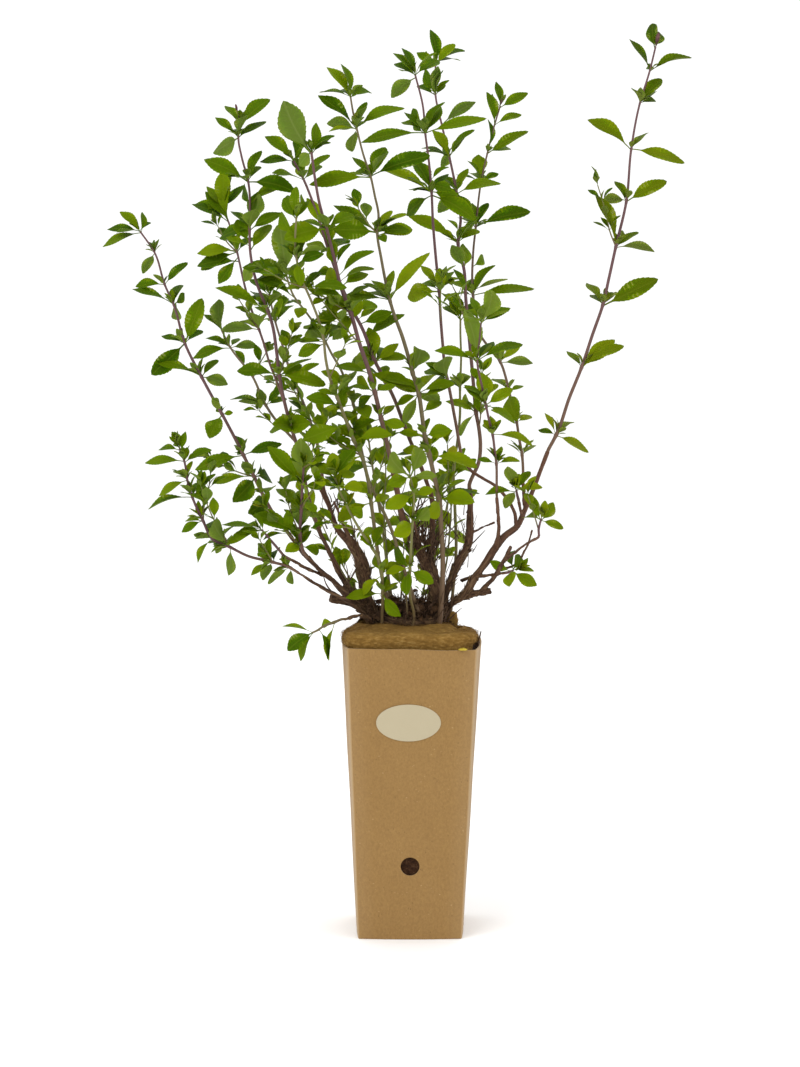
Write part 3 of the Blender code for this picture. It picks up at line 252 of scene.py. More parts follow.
def leafMaterial():
    # fresh green above with sunk pale veins, olive and dull beneath, and a yellowing leaf here and there
    made, tree, shader = newMaterial("SageLeaf", 0.6, 0.025)
    shader.inputs["Subsurface Weight"].default_value = 0.12
    shader.inputs["Subsurface Radius"].default_value = (0.6, 1.0, 0.15)
    shader.inputs["Subsurface Scale"].default_value = 0.0012
    tone, under = attributeValue(tree, "leafTone"), attributeValue(tree, "leafUnder")
    spot = put(tree, "ShaderNodeUVMap", {}, uv_map="leafMap")
    parts = place(tree, "ShaderNodeSeparateXYZ", {"Vector": spot}).outputs
    across = calc(tree, "ABSOLUTE", calc(tree, "SUBTRACT", parts[0], 0.5))
    cloud = noiseValue(tree, objectPlace(tree), 90, 3)
    # dark to pale green by the leaf's tone, which holds its own tone and its painted light and shade
    fresh = ramp(tree, tone, [(0.0, (0.030, 0.066, 0.0005)), (0.3, (0.070, 0.120, 0.0005)),
                              (0.55, (0.122, 0.178, 0.001)), (0.8, (0.186, 0.238, 0.002)),
                              (1.0, (0.360, 0.330, 0.015))])
    fresh = mixColour(tree, times(tree, cloud, 0.45), fresh, (0.052, 0.104, 0.0005))
    # a midrib, and side veins that climb outwards from it
    midrib = ramp(tree, across, [(0.0, 1.0), (0.022, 0.7), (0.05, 0.0)])
    slope = calc(tree, "SUBTRACT", parts[1], times(tree, across, 0.42))
    wave = calc(tree, "SUBTRACT", calc(tree, "FRACT", times(tree, slope, 9)), 0.5)
    sideVein = ramp(tree, calc(tree, "ABSOLUTE", wave), [(0.0, 1.0), (0.07, 0.35), (0.13, 0.0)])
    vein = calc(tree, "MAXIMUM", midrib, times(tree, sideVein, 0.28))
    top = mixColour(tree, times(tree, vein, 0.24), fresh, (0.160, 0.222, 0.012))
    low = mixColour(tree, times(tree, vein, 0.5), (0.134, 0.188, 0.030), (0.215, 0.265, 0.070))
    colour = mixColour(tree, under, top, mixColour(tree, 0.35, low, fresh))
    # the bush's right side is a little duller
    colour = mixColour(tree, axisValue(tree, 0, 0.06, 0.12), colour, (0.97, 0.85, 1.0), "MULTIPLY")
    tree.links.new(calc(tree, "ADD", times(tree, under, 0.2), 0.55), shader.inputs["Roughness"])
    pucker = calc(tree, "SUBTRACT", noiseValue(tree, objectPlace(tree), 300, 2), times(tree, vein, 0.9))
    return paint(made, colour, pucker, 0.00024, 0.3)


def stemMaterial():
    # square sage stems: purple-brown or green, browner and duller towards an old foot
    made, tree, _ = newMaterial("SageStem", 0.55, 0.3)
    purple, along = attributeValue(tree, "purple"), attributeValue(tree, "share")
    streak = noiseValue(tree, objectPlace(tree, (1, 1, 0.12)), 900, 4)
    patch = noiseValue(tree, objectPlace(tree), 45, 3)
    green = mixColour(tree, patch, (0.125, 0.150, 0.024), (0.200, 0.205, 0.050))
    plum = mixColour(tree, patch, (0.060, 0.022, 0.028), (0.138, 0.062, 0.066))
    colour = mixColour(tree, purple, green, plum)
    old = mixColour(tree, streak, (0.068, 0.032, 0.014), (0.190, 0.108, 0.052))
    aged = ramp(tree, along, [(0.0, 0.95), (0.18, 0.6), (0.42, 0.0)])
    colour = mixColour(tree, aged, colour, old)
    colour = mixColour(tree, times(tree, streak, 0.26), colour, (0.185, 0.112, 0.090))
    return paint(made, colour, streak, 0.00025, 0.5)


def barkMaterial():
    # shredding brown bark, near black in its cracks, partly the bark's own dark cracks and partly painted
    # shade, plum-brown on the younger limbs above
    made, tree, _ = newMaterial("OldBark", 0.85, 0.2)
    fibre = noiseValue(tree, attributeValue(tree, "barkPlace", "Vector"), 520, 6, 0.65)
    patch = noiseValue(tree, objectPlace(tree), 60, 4)
    # the darkest stops, where the relief sinks, are partly painted shade
    base = ramp(tree, fibre, [(0.32, (0.009, 0.005, 0.003)), (0.46, (0.058, 0.030, 0.016)),
                              (0.58, (0.130, 0.074, 0.037)), (0.76, (0.262, 0.172, 0.094))])
    base = mixColour(tree, times(tree, patch, 0.55), base, (0.042, 0.020, 0.010))
    plum = mixColour(tree, fibre, (0.066, 0.026, 0.017), (0.195, 0.098, 0.062))
    young = times(tree, axisValue(tree, 2, 0.285, 0.35), 0.8)
    return paint(made, mixColour(tree, young, base, plum), fibre, 0.0006, 0.9)


def flecks(tree, stretch, scale, stops, patchScale, patchStops):
    # small spots round random points, only in the patches of a coarser noise
    where = objectPlace(tree, stretch)
    cells = put(tree, "ShaderNodeTexVoronoi", {"Vector": where, "Scale": scale}, "Distance")
    patches = ramp(tree, noiseValue(tree, objectPlace(tree), patchScale, 2), patchStops)
    return times(tree, ramp(tree, cells, stops), patches)


def cartonMaterial():
    # brown kraft board with pressed-in flecks and a faint vertical grain, paler at the folds as wear and
    # painted light, and on the side walls as painted light
    made, tree, shader = newMaterial("CartonBoard", 0.86, 0.18)
    shader.inputs["Sheen Weight"].default_value = 0.22
    shader.inputs["Sheen Roughness"].default_value = 0.45
    shader.inputs["Sheen Tint"].default_value = (1.0, 0.90, 0.76, 1.0)
    fine = noiseValue(tree, objectPlace(tree, (1, 1, 0.7)), 620, 5, 0.75)
    cloud = noiseValue(tree, objectPlace(tree), 26, 4)
    grain = noiseValue(tree, objectPlace(tree, (1, 1, 0.06)), 700, 2)
    base = mixColour(tree, cloud, (0.253, 0.144, 0.045), (0.304, 0.179, 0.061))
    base = mixColour(tree, ramp(tree, fine, [(0.36, 0.0), (0.64, 0.62)]), base, (0.191, 0.104, 0.035))
    base = mixColour(tree, times(tree, grain, 0.12), base, (0.365, 0.230, 0.095))
    dark = flecks(tree, (1, 1, 0.55), 330, [(0.0, 1.0), (0.11, 0.7), (0.17, 0.0)],
                  120, [(0.52, 0.0), (0.62, 1.0)])
    base = mixColour(tree, times(tree, dark, 0.6), base, (0.110, 0.058, 0.023))
    pale = flecks(tree, (1, 1, 1.6), 260, [(0.0, 1.0), (0.13, 0.6), (0.20, 0.0)],
                  95, [(0.54, 0.0), (0.66, 0.5)])
    base = mixColour(tree, pale, base, (0.560, 0.390, 0.200))
    # paler where the pot's points say so: the lip, the folds as wear and painted light, the side walls as
    # painted light
    base = mixColour(tree, times(tree, attributeValue(tree, "rubbed"), 0.56), base, (0.460, 0.324, 0.180))
    return paint(made, base, calc(tree, "ADD", fine, times(tree, cloud, 0.6)), 0.00018, 0.6)


def labelMaterial():
    # blank cream paper
    made, tree, _ = newMaterial("LabelPaper", 0.55, 0.3)
    fibre = noiseValue(tree, objectPlace(tree), 1100, 4)
    cloud = noiseValue(tree, objectPlace(tree), 70, 2)
    base = mixColour(tree, times(tree, cloud, 0.5), (0.423, 0.365, 0.244), (0.381, 0.325, 0.210))
    base = mixColour(tree, times(tree, fibre, 0.16), base, (0.385, 0.313, 0.190))
    return paint(made, base, fibre, 0.00008, 0.5)


def fibreMaterial():
    # golden brown felt, painted paler on the mat's top as painted light
    made, tree, _ = newMaterial("FeltedFibre", 0.95, 0.1)
    strand = noiseValue(tree, objectPlace(tree, (0.45, 1, 1)), 480, 5, 0.7)
    cloud = noiseValue(tree, objectPlace(tree), 55, 3)
    base = ramp(tree, strand, [(0.26, (0.084, 0.042, 0.009)), (0.50, (0.218, 0.119, 0.027)),
                               (0.74, (0.405, 0.258, 0.080))])
    base = mixColour(tree, times(tree, cloud, 0.5), base, (0.162, 0.084, 0.018))
    # painted light: the mat's top painted paler, where the bush shades it
    top = times(tree, axisValue(tree, 2, 0.2435, 0.2475), 0.16)
    return paint(made, mixColour(tree, top, base, (0.420, 0.265, 0.080)), strand, 0.0008, 0.9)


def soilMaterial():
    made, tree, _ = newMaterial("PottingSoil", 0.95, 0.12)
    crumb = noiseValue(tree, objectPlace(tree), 420, 6, 0.7)
    base = ramp(tree, crumb, [(0.32, (0.010, 0.005, 0.003)), (0.52, (0.042, 0.018, 0.008)),
                              (0.72, (0.100, 0.055, 0.028))])
    return paint(made, base, crumb, 0.0012, 1.0)


def dryMaterial(name, dark, light):
    # a dull mottle between two colours
    made, tree, _ = newMaterial(name, 0.85, 0.15)
    mottle = noiseValue(tree, objectPlace(tree), 380, 5, 0.65)
    return paint(made, ramp(tree, mottle, [(0.35, dark), (0.65, light)]), mottle, 0.0004, 0.7)


leafFinish = leafMaterial()
stemFinish = stemMaterial()
barkFinish = barkMaterial()
cartonFinish = cartonMaterial()
labelFinish = labelMaterial()
fibreFinish = fibreMaterial()
soilFinish = soilMaterial()
litterFinish = dryMaterial("DeadLeaf", (0.024, 0.012, 0.006), (0.120, 0.062, 0.028))
twigFinish = dryMaterial("DeadTwig", (0.024, 0.012, 0.007), (0.110, 0.064, 0.038))
flakeFinish = dryMaterial("LooseBark", (0.034, 0.018, 0.009), (0.215, 0.134, 0.070))
fallenFinish = dryMaterial("FallenYellowLeaf", (0.420, 0.300, 0.030), (0.620, 0.480, 0.060))
budFinish = dryMaterial("FlowerBud", (0.050, 0.020, 0.028), (0.150, 0.075, 0.070))
print("materials ready")


# Stage: camera, floor and soft light

cameraLook = {"target": Vector((-0.008, 0.0, 0.3211)), "lens": 92.68, "sensor": 36.0}
studioLook = {"floorHalf": 6.0, "worldColour": (1.0, 1.0, 1.0), "worldStrength": 1.10}
# each lamp: place, size, watts
lamps = {
    "key": ((-1.3, -1.9, 2.3), 1.6, 30),
    "fill": ((1.8, -1.7, 1.2), 1.8, 6),
    "back": ((0.5, 1.9, 1.9), 1.6, 8),
}


def makeCamera():
    camera = addObject("camera", bpy.data.cameras.new("camera"))
    camera.location = cameraEye
    camera.rotation_euler = (cameraLook["target"] - cameraEye).to_track_quat("-Z", "Y").to_euler()
    camera.data.lens = cameraLook["lens"]
    camera.data.sensor_fit = "VERTICAL"
    camera.data.sensor_height = cameraLook["sensor"]
    camera.data.clip_end = 40
    bpy.context.scene.camera = camera


def makeStudio():
    half = studioLook["floorHalf"]
    shape = bmesh.new()
    bmesh.ops.create_grid(shape, x_segments=8, y_segments=8, size=half)
    floor = addObject("studio_floor", meshFromShape("studio_floor", shape))
    made, tree, shader = newMaterial("PaleFloor", 0.9, 0.1)
    mottle = noiseValue(tree, objectPlace(tree), 3, 2)
    pale = mixColour(tree, mottle, (0.968, 0.968, 0.968), (0.985, 0.985, 0.985))
    tree.links.new(pale, shader.inputs["Base Color"])
    floor.data.materials.append(made)
    world = bpy.data.worlds.new("PaleStudio")
    world.use_nodes = True
    sky = world.node_tree.nodes["Background"]
    sky.inputs[0].default_value = (*studioLook["worldColour"], 1)
    sky.inputs[1].default_value = studioLook["worldStrength"]
    bpy.context.scene.world = world
    for name, (spot, size, watts) in lamps.items():
        data = bpy.data.lights.new(name, "AREA")
        data.size = size
        data.energy = watts
        lamp = addObject(name, data)
        lamp.location = spot
        lamp.rotation_euler = (Vector((0, 0, 0.4)) - Vector(spot)).to_track_quat("-Z", "Y").to_euler()
    view = bpy.context.scene.view_settings
    view.view_transform = "Standard"
    view.look = "None"


makeCamera()
makeStudio()
print("camera, floor and lights ready")


# Carton pot: the imported solid's taper and bulge, with finer walls, folds, rim and drilled hole

# near each fold the front is painted a little paler, as wear and painted light, and the side walls much
# paler, as painted light
potLook = {"height": 235 * mm, "wall": 1.4 * mm, "footCorner": 41.3 * mm, "footSide": 43.3 * mm,
           "rimCorner": 51.0 * mm, "rimSide": 56.0 * mm, "foldShare": 0.975, "rimWave": 0.45 * mm,
           "lean": 1.4 * mm, "foldFade": 15 * mm, "frontWearAndLight": 0.22, "sideWearAndLight": 0.9, "dent": 0.35 * mm,
           "levels": 30, "alongSteps": 18, "holeHeight": 60 * mm, "holeRadius": 7.5 * mm}
labelLook = {"centre": (-1.3 * mm, 176.7 * mm), "half": (25.5 * mm, 14.8 * mm), "lift": 0.35 * mm,
             "thickness": 0.3 * mm, "turns": 72, "rings": 6}


def potCorner(height):
    return potLook["footCorner"] + (potLook["rimCorner"] - potLook["footCorner"]) * height / potLook["height"]


def potWall(along, height):
    # how far a bulging side wall stands from the axis
    corner = potCorner(height)
    side = potLook["footSide"] + (potLook["rimSide"] - potLook["footSide"]) * height / potLook["height"]
    return corner + (side - corner) * (1 - (along / corner) ** 2)


def potRing(height, inset=0.0):
    # one turn round the pot as (point, how pale: 1 on a fold, as wear and painted light, the side walls paler
    # as painted light), each fold a small bend
    points = []
    corner, steps = potCorner(height), potLook["alongSteps"]
    for quarter in range(4):
        turn = Matrix.Rotation(radians(90 * quarter), 3, "Z")
        for i in range(steps + 1):
            along = potLook["foldShare"] * corner * (2 * i / steps - 1)
            # painted light: the side walls are painted much paler than the front, and both fade away from
            # each fold
            panelWearAndLight = potLook["sideWearAndLight" if quarter % 2 else "frontWearAndLight"]
            rub = panelWearAndLight * max(0.0, 1 - (corner - abs(along)) / potLook["foldFade"])
            points.append((turn @ Vector((along, inset - potWall(along, height), 0)), rub))
        start = points[-1][0]
        bend = turn @ Vector((corner - inset, inset - corner, 0))
        away = potLook["foldShare"] * corner
        end = turn @ Vector((potWall(away, height) - inset, -away, 0))
        for t in (0.25, 0.5, 0.75):
            points.append((start * (1 - t) ** 2 + bend * 2 * t * (1 - t) + end * t * t, 1.0))
    ring = []
    for point, fold in points:
        angle = atan2(point.y, point.x)
        wave = potLook["rimWave"] * (sin(3 * angle + 1.0) + 0.5 * sin(7 * angle)) - 0.006 * point.x
        dent = potLook["dent"] * noise.noise(Vector((point.x * 22, point.y * 22, height * 16)))
        outward = Vector((point.x, point.y, 0)).normalized()
        placed = point + outward * dent * (1 - fold)
        placed.x += potLook["lean"] * height / potLook["height"]
        placed.z = height + wave * (height / potLook["height"]) ** 8
        ring.append((placed, fold))
    return ring


def loftRings(shape, rings, closed=False, caps=(True, True)):
    # faces between rings of equally many points, closed into a ring or capped at its ends
    loops = [[shape.verts.new(point) for point in ring] for ring in rings]
    pairs = list(zip(loops, loops[1:])) + ([(loops[-1], loops[0])] if closed else [])
    count = len(loops[0])
    for lower, upper in pairs:
        for i in range(count):
            j = (i + 1) % count
            shape.faces.new((lower[i], lower[j], upper[j], upper[i]))
    if caps[0]:
        shape.faces.new(loops[0][::-1])
    if caps[1]:
        shape.faces.new(loops[-1])


def makePot():
    height, wall, levels = potLook["height"], potLook["wall"], potLook["levels"]
    heights = [0.0, 0.6 * mm] + [height * (i / levels) for i in range(1, levels)]
    heights += [height - 0.5 * mm, height]
    outside = [potRing(level, 0.5 * mm if not level else 0.0) for level in heights]
    lip = potRing(height, wall * 0.5)
    inside = [potRing(level, wall) for level in reversed(heights[2:])] + [potRing(wall, wall)]
    rings = outside + [[(point + Vector((0, 0, 0.12 * mm)), fold) for point, fold in lip]] + inside
    shape = bmesh.new()
    loftRings(shape, [[point for point, _ in ring] for ring in rings])
    pot = objectFromShape("pot_carton", shape, smooth=False)
    # how pale each point is painted: the lip, the folds as wear and painted light, the side walls as painted
    # light
    rubbed = []
    for index, ring in enumerate(rings):
        rubbed += [1.0 if index == len(outside) else fold for _, fold in ring]
    setValues(pot.data, "rubbed", "FLOAT", rubbed)
    drill = bmesh.new()
    bmesh.ops.create_cone(drill, cap_ends=True, segments=64, radius1=potLook["holeRadius"],
                          radius2=potLook["holeRadius"], depth=24 * mm)
    cutter = addObject("hole_drill", meshFromShape("hole_drill", drill))
    cutter.data.transform(Matrix.Translation((0, -potCorner(potLook["holeHeight"]), potLook["holeHeight"]))
                          @ Matrix.Rotation(pi / 2, 4, "X"))
    cut = pot.modifiers.new("hole", "BOOLEAN")
    cut.object = cutter
    applyModifiers(pot)
    bpy.data.objects.remove(cutter)
    smoothAll(pot.data)
    pot.data.set_sharp_from_angle(angle=radians(38))
    pot.data.materials.clear()
    pot.data.materials.append(cartonFinish)
    finishPiece(pot, "carton", "carton_pot")


def makeLabel():
    # a blank oval sheet that follows the wall, its edge turned down a little
    (cx, cz), (halfX, halfZ) = labelLook["centre"], labelLook["half"]
    shape = bmesh.new()
    faces = {}
    for side, lift in (("back", labelLook["lift"]), ("front", labelLook["lift"] + labelLook["thickness"])):
        loops = []
        for r in range(1, labelLook["rings"] + 1):
            share = (r / labelLook["rings"]) ** 0.7
            loop = []
            for i in range(labelLook["turns"]):
                angle = tau * i / labelLook["turns"]
                x, z = cx + halfX * share * cos(angle), cz + halfZ * share * sin(angle)
                curl = 0.25 * mm * max(0.0, share - 0.8) * (1 + sin(3 * angle))
                loop.append(shape.verts.new((x, -potWall(x, z) - lift - curl, z)))
            loops.append(loop)
        faces[side] = loops
        middle = shape.verts.new((cx, -potWall(cx, cz) - lift, cz))
        for i in range(labelLook["turns"]):
            shape.faces.new((middle, loops[0][i - 1], loops[0][i]))
            for inner, outer in zip(loops, loops[1:]):
                shape.faces.new((inner[i - 1], outer[i - 1], outer[i], inner[i]))
    for i in range(labelLook["turns"]):
        back, front = faces["back"][-1], faces["front"][-1]
        shape.faces.new((back[i - 1], front[i - 1], front[i], back[i]))
    label = objectFromShape("label_paper", shape)
    label.data.set_sharp_from_angle(angle=radians(50))
    label.data.materials.append(labelFinish)
    finishPiece(label, "label", "oval_label")


makePot()
makeLabel()
print("pot and label made")


# Fibre mat: a felted pillow with an opening for the crown, and loose fibres all over it

# "level" is the rim's height: what is above it bulges, is pressed down at the back corners, and bears fibres
matLook = {"turns": 150, "levelsBetween": 5, "opening": (1.0 * mm, 8.0 * mm),
           "openingHalf": (41 * mm, 25 * mm), "level": 236.5 * mm, "overhang": 0.036, "leftFill": 0.05,
           "overhangTop": 239.5 * mm, "fillSpan": (238 * mm, 242 * mm), "waveSpan": (240 * mm, 244 * mm),
           "wave": 0.7 * mm, "feltFrom": 233 * mm,
           "flapFoot": Vector((32.6, 15.0, 238.0)) * mm, "flapTip": Vector((34.4, 13.0, 256.5)) * mm,
           "flapHalf": (5.4 * mm, 3.6 * mm), "flapTurns": 36, "flapLevels": 24, "seed": 31,
           "density": 300000.0, "fibreLength": 5.5 * mm, "fibreRadius": 0.075 * mm,
           "fibreBends": ((0, -0.02), (0.06, 0.05), (0.02, 0.09), (-0.10, 0.05), (-0.20, 0.01))}
# share of the way in to the opening, height and half width in millimetres, from the foot of the outside
# over the top and down into the opening
matProfile = [(0.0, 231.5, 49.8), (0.0, 235.5, 50.0), (0.0, 238.5, 50.6), (0.0, 243.0, 51.8),
              (0.02, 245.4, 51.3), (0.08, 247.0, 50.4), (0.3, 247.8, 47.0), (0.5, 248.6, 46.0),
              (0.7, 249.4, 46.0), (0.86, 249.8, 46.0), (0.97, 248.4, 46.0), (1.0, 244.0, 46.0),
              (1.0, 238.0, 46.0), (1.0, 231.5, 46.0)]


def between(low, high, share):
    return tuple(a + (b - a) * share for a, b in zip(low, high))


def ramped(value, low, high):
    return min(1.0, max(0.0, (value - low) / (high - low)))


def openingPoint(share, angle, height, rightShare=1.0):
    # a place in the mat's opening, this share of the way out from its middle
    (openX, openY), (halfX, halfY) = matLook["opening"], matLook["openingHalf"]
    across = cos(angle) * (rightShare if cos(angle) > 0 else 1)
    return Vector((openX + halfX * share * across, openY + halfY * share * sin(angle), height))


def matPoint(share, height, half, angle):
    # a rounded square that narrows to the opening, wider over the rim, wavy on top
    c, s = cos(angle), sin(angle)
    reach = half / (abs(c) ** 7 + abs(s) ** 7) ** (1 / 7)
    wider = 1 + matLook["overhang"] * ramped(height, matLook["level"], matLook["overhangTop"])
    wider += matLook["leftFill"] * ramped(-c, 0.4, 0.75) * (1 - ramped(height, *matLook["fillSpan"]))
    point = Vector((reach * c * wider, reach * s, 0)).lerp(openingPoint(1.0, angle, 0), share)
    point.z = height
    if height > matLook["level"]:
        wave = sin(point.x * 150 + 1.3) * sin(point.y * 130 + 0.4)
        wave *= ramped(height, *matLook["waveSpan"])
        # pressed down at the two back corners
        left = 0.95 * ramped(-point.x, 36 * mm, 53 * mm)
        right = 0.72 * ramped(point.x, 32 * mm, 38 * mm) + 0.23 * ramped(point.x, 46 * mm, 54 * mm)
        pressed = (left + right) * ramped(point.y, -50 * mm, 50 * mm)
        point.z += matLook["wave"] * wave - (height - matLook["level"]) * pressed
    return felted(point, Vector((c, s, 0.6)).normalized()) if height > matLook["feltFrom"] else point


def felted(point, outward):
    # lumps, and finer tufts on them
    lump = noise.fractal(point * 95, 1.0, 2.1, 3)
    tuft = noise.fractal(point * 420, 0.8, 2.2, 3)
    return point + outward * (0.9 * lump + 0.55 * tuft) * mm


def flapRings():
    # a torn tongue of the mat that stands at the opening's right
    rings = []
    foot, tip, (wide, deep) = matLook["flapFoot"], matLook["flapTip"], matLook["flapHalf"]
    for level in range(matLook["flapLevels"] + 1):
        t = level / matLook["flapLevels"]
        size = (1 - 0.22 * t) * (1 - max(0.0, t - 0.8) ** 2 * 18)
        ring = []
        for i in range(matLook["flapTurns"]):
            angle = tau * i / matLook["flapTurns"]
            c, s = cos(angle), sin(angle)
            reach = size / (abs(c) ** 3 + abs(s) ** 3) ** (1 / 3)
            spot = foot.lerp(tip, t) + Vector((wide * reach * c, deep * reach * s, 0))
            ring.append(felted(spot, Vector((c, s, 0))))
        rings.append(ring)
    return rings


def makeMat():
    profile = []
    for low, high in zip(matProfile, matProfile[1:]):
        profile += [between(low, high, i / matLook["levelsBetween"]) for i in range(matLook["levelsBetween"])]
    profile.append(matProfile[-1])
    turns = [tau * i / matLook["turns"] for i in range(matLook["turns"])]
    shape = bmesh.new()
    rings = [[matPoint(share, height * mm, half * mm, angle) for angle in turns]
             for share, height, half in profile]
    loftRings(shape, rings, closed=True, caps=(False, False))
    loftRings(shape, flapRings())
    return objectFromShape("mat_felt", shape)


def drawn(tree, low, high, seed):
    # a random vector or number for each point
    if isinstance(low, tuple):
        return put(tree, "FunctionNodeRandomValue", {"Min": low, "Max": high, "Seed": seed}, 0,
                   data_type="FLOAT_VECTOR")
    return put(tree, "FunctionNodeRandomValue", {2: low, 3: high, "Seed": seed}, 1, data_type="FLOAT")


def turned(tree, rotation, angles):
    # a rotation, turned by further angles about its own axes
    euler = put(tree, "FunctionNodeEulerToRotation", {0: angles})
    return put(tree, "FunctionNodeRotateRotation", {0: rotation, 1: euler}, rotation_space="LOCAL")


def scaled(tree, vector, factors):
    return put(tree, "ShaderNodeVectorMath", {0: vector, 1: factors}, operation="MULTIPLY")


def compared(tree, value, operation, limit):
    return put(tree, "FunctionNodeCompare", {0: value, 1: limit}, operation=operation)


def scatterTree(name, part, look, sockets, settle):
    # copies of one small object over a surface; settle gives where they may stand, their turn and their size
    tree, start, end = newTree(name, {
        part: ("NodeSocketObject", None), "Density": ("NodeSocketFloat", look["density"]),
        "Seed": ("NodeSocketInt", look["seed"]), "Material": ("NodeSocketMaterial", None), **sockets})
    inputs = start.outputs
    spread = place(tree, "GeometryNodeDistributePointsOnFaces", {
        "Mesh": inputs["Geometry"], "Density": inputs["Density"], "Seed": inputs["Seed"]})
    where = place(tree, "ShaderNodeSeparateXYZ", {"Vector": put(tree, "GeometryNodeInputPosition", {})})
    chosen, turn, size = settle(tree, inputs, where.outputs, spread.outputs["Rotation"])
    tree.links.new(chosen, spread.inputs["Selection"])
    thing = put(tree, "GeometryNodeObjectInfo", {"Object": inputs[part]}, "Geometry")
    copies = put(tree, "GeometryNodeInstanceOnPoints", {
        "Points": spread.outputs["Points"], "Instance": thing, "Rotation": turn, "Scale": size})
    closeTree(tree, end, copies, inputs["Material"])
    return tree


def scatter(name, surface, tree, values):
    # runs a scatter tree on a copy of the surface
    made = addObject(name, surface.data.copy())
    runTree(made, tree, values)
    return applyModifiers(made)


def settleFibres(tree, inputs, where, rotation):
    # short bent hairs that lie along the surface and fray at its edge
    draw = drawn(tree, (-1.0, -1.0, -3.14), (1.0, 1.0, 3.14), inputs["Seed"])
    return (compared(tree, where[2], "GREATER_THAN", matLook["level"]),
            turned(tree, rotation, scaled(tree, draw, (0.17, 0.17, 1.0))), drawn(tree, 0.45, 1.35, 5))


def makeHair():
    # one closed three-sided hair along +X, its middle line bent aside and up
    length, radius, bends = matLook["fibreLength"], matLook["fibreRadius"], matLook["fibreBends"]
    shape = bmesh.new()
    rings = []
    for i, (side, up) in enumerate(bends):
        t = i / (len(bends) - 1)
        thin = radius * (1 - 0.55 * t)
        centre = Vector((length * t, length * side, length * up))
        rings.append([centre + Vector((0, thin * cos(a), thin * sin(a))) for a in (0.5, 2.6, 4.7)])
    loftRings(shape, rings)
    return objectFromShape("hair", shape, smooth=False)


mat = makeMat()
hair = makeHair()
fibreTree = scatterTree("MatFibres", "Hair", matLook, {}, settleFibres)
fibres = scatter("mat_fibres", mat, fibreTree, {"Hair": hair, "Material": fibreFinish})
bpy.data.objects.remove(hair)
mat.data.materials.append(fibreFinish)
finishPiece(mat, "fibre", "fibre_mat")
finishPiece(fibres, "fibre")
print("mat made with", len(fibres.data.polygons), "fibre faces")


# Woody branches: (x, z, depth, diameter) in millimetres as they show from the front, from the root up

